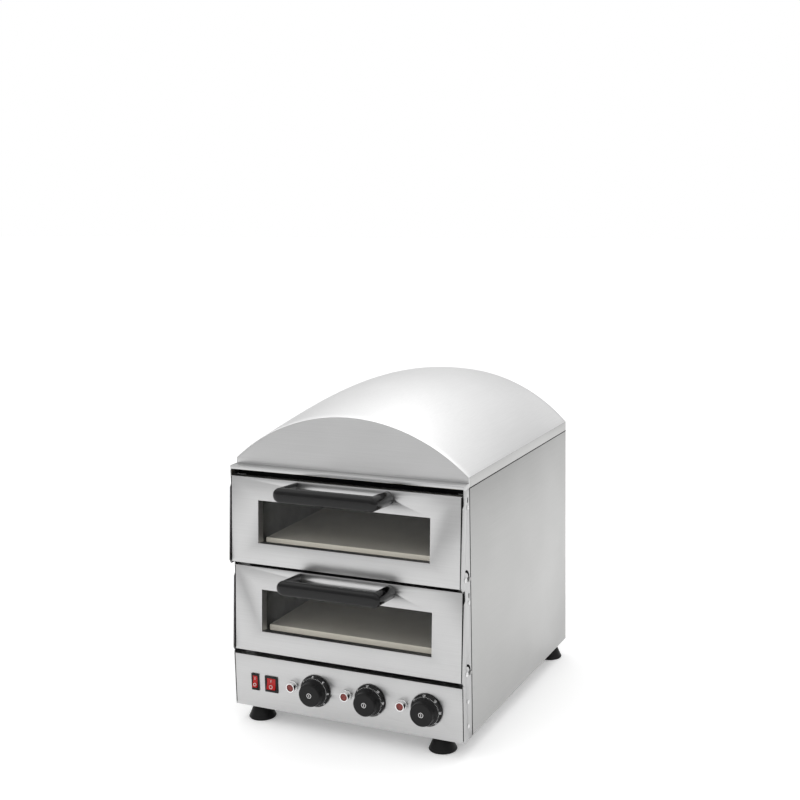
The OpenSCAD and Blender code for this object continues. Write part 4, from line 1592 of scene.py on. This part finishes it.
@dataclass
class ControlPanel:
    """The panel under the doors with its switches, lamps and dials."""

    shop: Workshop

    def build(self) -> None:
        """Builds the panel and everything on it."""
        finish = self.shop.finishes
        panel = rounded_edges(cad_copy("control_panel", "control_panel_sheet"), 0.6 * MM, 3)
        own(paint(panel, finish["stainless_brushed_across"]), "control_panel")
        minutes = ("0", "20", "40", "60", "80", "100")
        degrees = ("50", "100", "150", "200", "250", "300")
        for node, labels in (("timer", minutes), ("upper", degrees), ("lower", degrees)):
            Dial(self.shop, node, labels).build()
        PilotLamps(self.shop).build()
        RockerSwitch(self.shop, "light", -182.0, 15.0, 31.0).build()
        RockerSwitch(self.shop, "main", -148.5, 26.0, 30.0).build()
        for node in ("timer", "upper_thermostat", "lower_thermostat"):
            keep_node(node, finish["stainless_mill"])


@dataclass
class Feet:
    """Four rubber feet with a lip at the worktop, and their screws."""

    shop: Workshop
    base: float = 25.0
    top: float = 12.5
    height: float = 31.0
    places: tuple[Point2, ...] = ((-189.0, 31.0), (172.0, 31.0), (-200.0, 509.0), (200.0, 509.0))

    def build(self) -> None:
        """Builds the feet."""
        profile = [
            (8.0, 0.0), (self.base - 2.2, 0.0), (self.base - 0.8, 0.4), (self.base - 0.1, 1.4),
            (self.base - 0.1, 2.4), (self.base - 0.7, 3.6), (self.base - 1.8, 5.4),
            (self.top + 0.3, self.height - 1.2), (self.top - 0.3, self.height - 0.3),
            (self.top - 1.2, self.height), (3.2, self.height), (3.2, self.height / 2),
            (8.0, self.height / 2), (8.0, 0.0),
        ]
        shape = lathe(
            "foot_shape", [(r * MM, (h - self.height) * MM) for r, h in profile],
            Vector((0, 0, 0)), Vector((0, 0, 1)), 64,
        )
        feet = self.shop.repeat(
            "rubber_feet", shape, [at(x, y, 0) for x, y in self.places], Vector((0, 0, 1)),
            self.shop.finishes["foot_rubber"],
        )
        removed(shape)
        own(feet, "feet")
        keep_node("foot_screws", self.shop.finishes["zinc_plate"])


@dataclass
class Fixings:
    """Screws in the posts and the back, hinge screws, gland and terminal block."""

    shop: Workshop
    post: tuple[Point2, ...] = ((19.0, 24.25), (19.0, 67.9), (28.6, 239.3), (28.6, 403.3))
    rear: tuple[float, ...] = (24.0, 216.5, 409.0)
    hinge: tuple[Point2, ...] = ((14.5, 118.0), (14.5, 282.0))

    def build(self) -> None:
        """Builds the screws and dresses the rest."""
        zinc = self.shop.finishes["zinc_plate"]
        small = screw_shape(3.6 * MM, 1.6 * MM)
        large = screw_shape(4.2 * MM, 1.8 * MM)
        heads, pivots = [], []
        for side in (-1, 1):
            axis = Vector((side, 0, 0))
            spots = [at(side * 225, y, z) for y, z in self.post]
            heads.append(self.shop.repeat("post_heads", small, spots, axis, zinc, 3.1, 5 + side))
            spots = [at(side * 225, y, z) for y, z in self.hinge]
            pivots.append(self.shop.repeat("hinge_heads", large, spots, axis, zinc, 3.1, 9 + side))
        spots = [at(side * 214.5, 540, z) for side in (-1, 1) for z in self.rear]
        heads.append(
            self.shop.repeat("rear_heads", small, spots, Vector((0, 1, 0)), zinc, 3.1, 7)
        )
        removed(small)
        removed(large)
        own(joined("casing_screw_heads", heads), "casing_screws")
        own(joined("hinge_screw_heads", pivots), "hinge_screws")
        rest = {
            "stone_ledges": "aluminised_chamber_steel",
            "thermostat_bulbs": "copper_tube",
            "oven_lamps": "lamp_jar_glass",
            "terminal_block": "steatite_ceramic",
            "cable_gland": "switch_housing_abs",
        }
        for node, name in rest.items():
            keep_node(node, self.shop.finishes[name])


@dataclass
class Studio:
    """A pale floor, soft lights and the camera."""

    camera_place: tuple[float, float, float] = (1.0310, -2.15956, 0.9927)
    camera_turn: tuple[float, float, float] = (79.822, 1.241, 25.306)
    lens: float = 59.07
    horizon: float = 0.5
    zenith: float = 1.12
    floor_size: float = 14.0
    floor_glow: float = 0.2

    def build(self) -> None:
        """Builds the floor, the world, the lights and the camera."""
        scene = bpy.context.scene
        scene.view_settings.view_transform = "Standard"
        self.floor()
        self.sky(scene)
        self.softbox("key_light", (-1.6, -2.2, 2.6), (3.0, 2.2), 9.0)
        self.softbox("side_light", (2.6, -0.4, 1.6), (1.6, 2.0), 1.5)
        self.softbox("roof_light", (0.2, 0.6, 3.0), (2.4, 2.4), 10.0)
        camera = bpy.data.objects.new("camera", bpy.data.cameras.new("camera"))
        camera.data.lens = self.lens
        camera.location = self.camera_place
        camera.rotation_euler = [math.radians(a) for a in self.camera_turn]
        scene.collection.objects.link(camera)
        scene.camera = camera

    def floor(self) -> None:
        """A wide, flat, pale floor."""
        material, tree, shader = new_material("pale_studio_floor")
        grain = noise(tree, (2.0, 2.0, 2.0), 2.0)
        tree.links.new(
            blended(tree, span(tree, grain, 0.0, 1.0), "fafafa", "fcfcfc"),
            shader.inputs["Base Color"],
        )
        shader.inputs["Roughness"].default_value = 0.9
        shader.inputs["Emission Color"].default_value = (1, 1, 1, 1)
        shader.inputs["Emission Strength"].default_value = self.floor_glow
        data = bmesh.new()
        size = self.floor_size
        corners = [(-size, -size), (size, -size), (size, size), (-size, size)]
        data.faces.new([data.verts.new((x, y, 0.0)) for x, y in corners])
        paint(to_object("studio_floor", data), material)

    def sky(self, scene: bpy.types.Scene) -> None:
        """Soft light from all round, bright overhead and greyer towards the horizon.

        The backdrop itself stays white.
        """
        world = bpy.data.worlds.new("soft_white")
        world.use_nodes = True
        tree = world.node_tree
        tree.nodes.clear()
        place = add_node(tree, "ShaderNodeTexCoord")
        parts = add_node(tree, "ShaderNodeSeparateXYZ", links={0: place.outputs["Generated"]})
        level = add_node(
            tree, "ShaderNodeMapRange",
            {"From Min": -0.1, "From Max": 0.9, "To Min": self.horizon, "To Max": self.zenith},
            {"Value": parts.outputs["Z"]}, interpolation_type="SMOOTHSTEP",
        )
        lighting = add_node(
            tree, "ShaderNodeBackground", {"Color": (1, 1, 1, 1)}, {"Strength": level.outputs[0]}
        )
        backdrop = add_node(tree, "ShaderNodeBackground", {"Color": (1, 1, 1, 1), "Strength": 1.0})
        path = add_node(tree, "ShaderNodeLightPath")
        shown = add_node(
            tree, "ShaderNodeMixShader",
            links={0: path.outputs["Is Camera Ray"], 1: lighting.outputs[0],
                   2: backdrop.outputs[0]},
        )
        add_node(tree, "ShaderNodeOutputWorld", links={0: shown.outputs[0]})
        scene.world = world

    def softbox(
        self, name: str, place: tuple[float, float, float], size: Point2, power: float
    ) -> None:
        """A rectangular soft light that faces the oven."""
        light = bpy.data.lights.new(name, "AREA")
        light.shape = "RECTANGLE"
        light.size, light.size_y = size
        light.energy = power
        holder = bpy.data.objects.new(name, light)
        holder.location = place
        aim = Vector((0, 0, 0.3)) - Vector(place)
        holder.rotation_euler = aim.to_track_quat("-Z", "Y").to_euler()
        bpy.context.scene.collection.objects.link(holder)


# Height of each door's lower edge above the casing's underside, in millimetres.
LOWER_DOOR_Z = 106.0
UPPER_DOOR_Z = 270.0


def main() -> None:
    """Builds the oven's pieces in order."""
    logging.basicConfig(level=logging.INFO, format="%(name)s: %(message)s")
    Studio().build()
    shop = Workshop()
    builders = [
        Casing(shop), Roof(shop), Seams(shop), ControlPanel(shop),
        Door(shop, "lower", LOWER_DOOR_Z), Door(shop, "upper", UPPER_DOOR_Z),
        Chamber(shop, "lower"), Chamber(shop, "upper"), Feet(shop), Fixings(shop),
    ]
    for builder in builders:
        builder.build()
        log.info("%s built", type(builder).__name__)


if __name__ == "__main__":
    main()
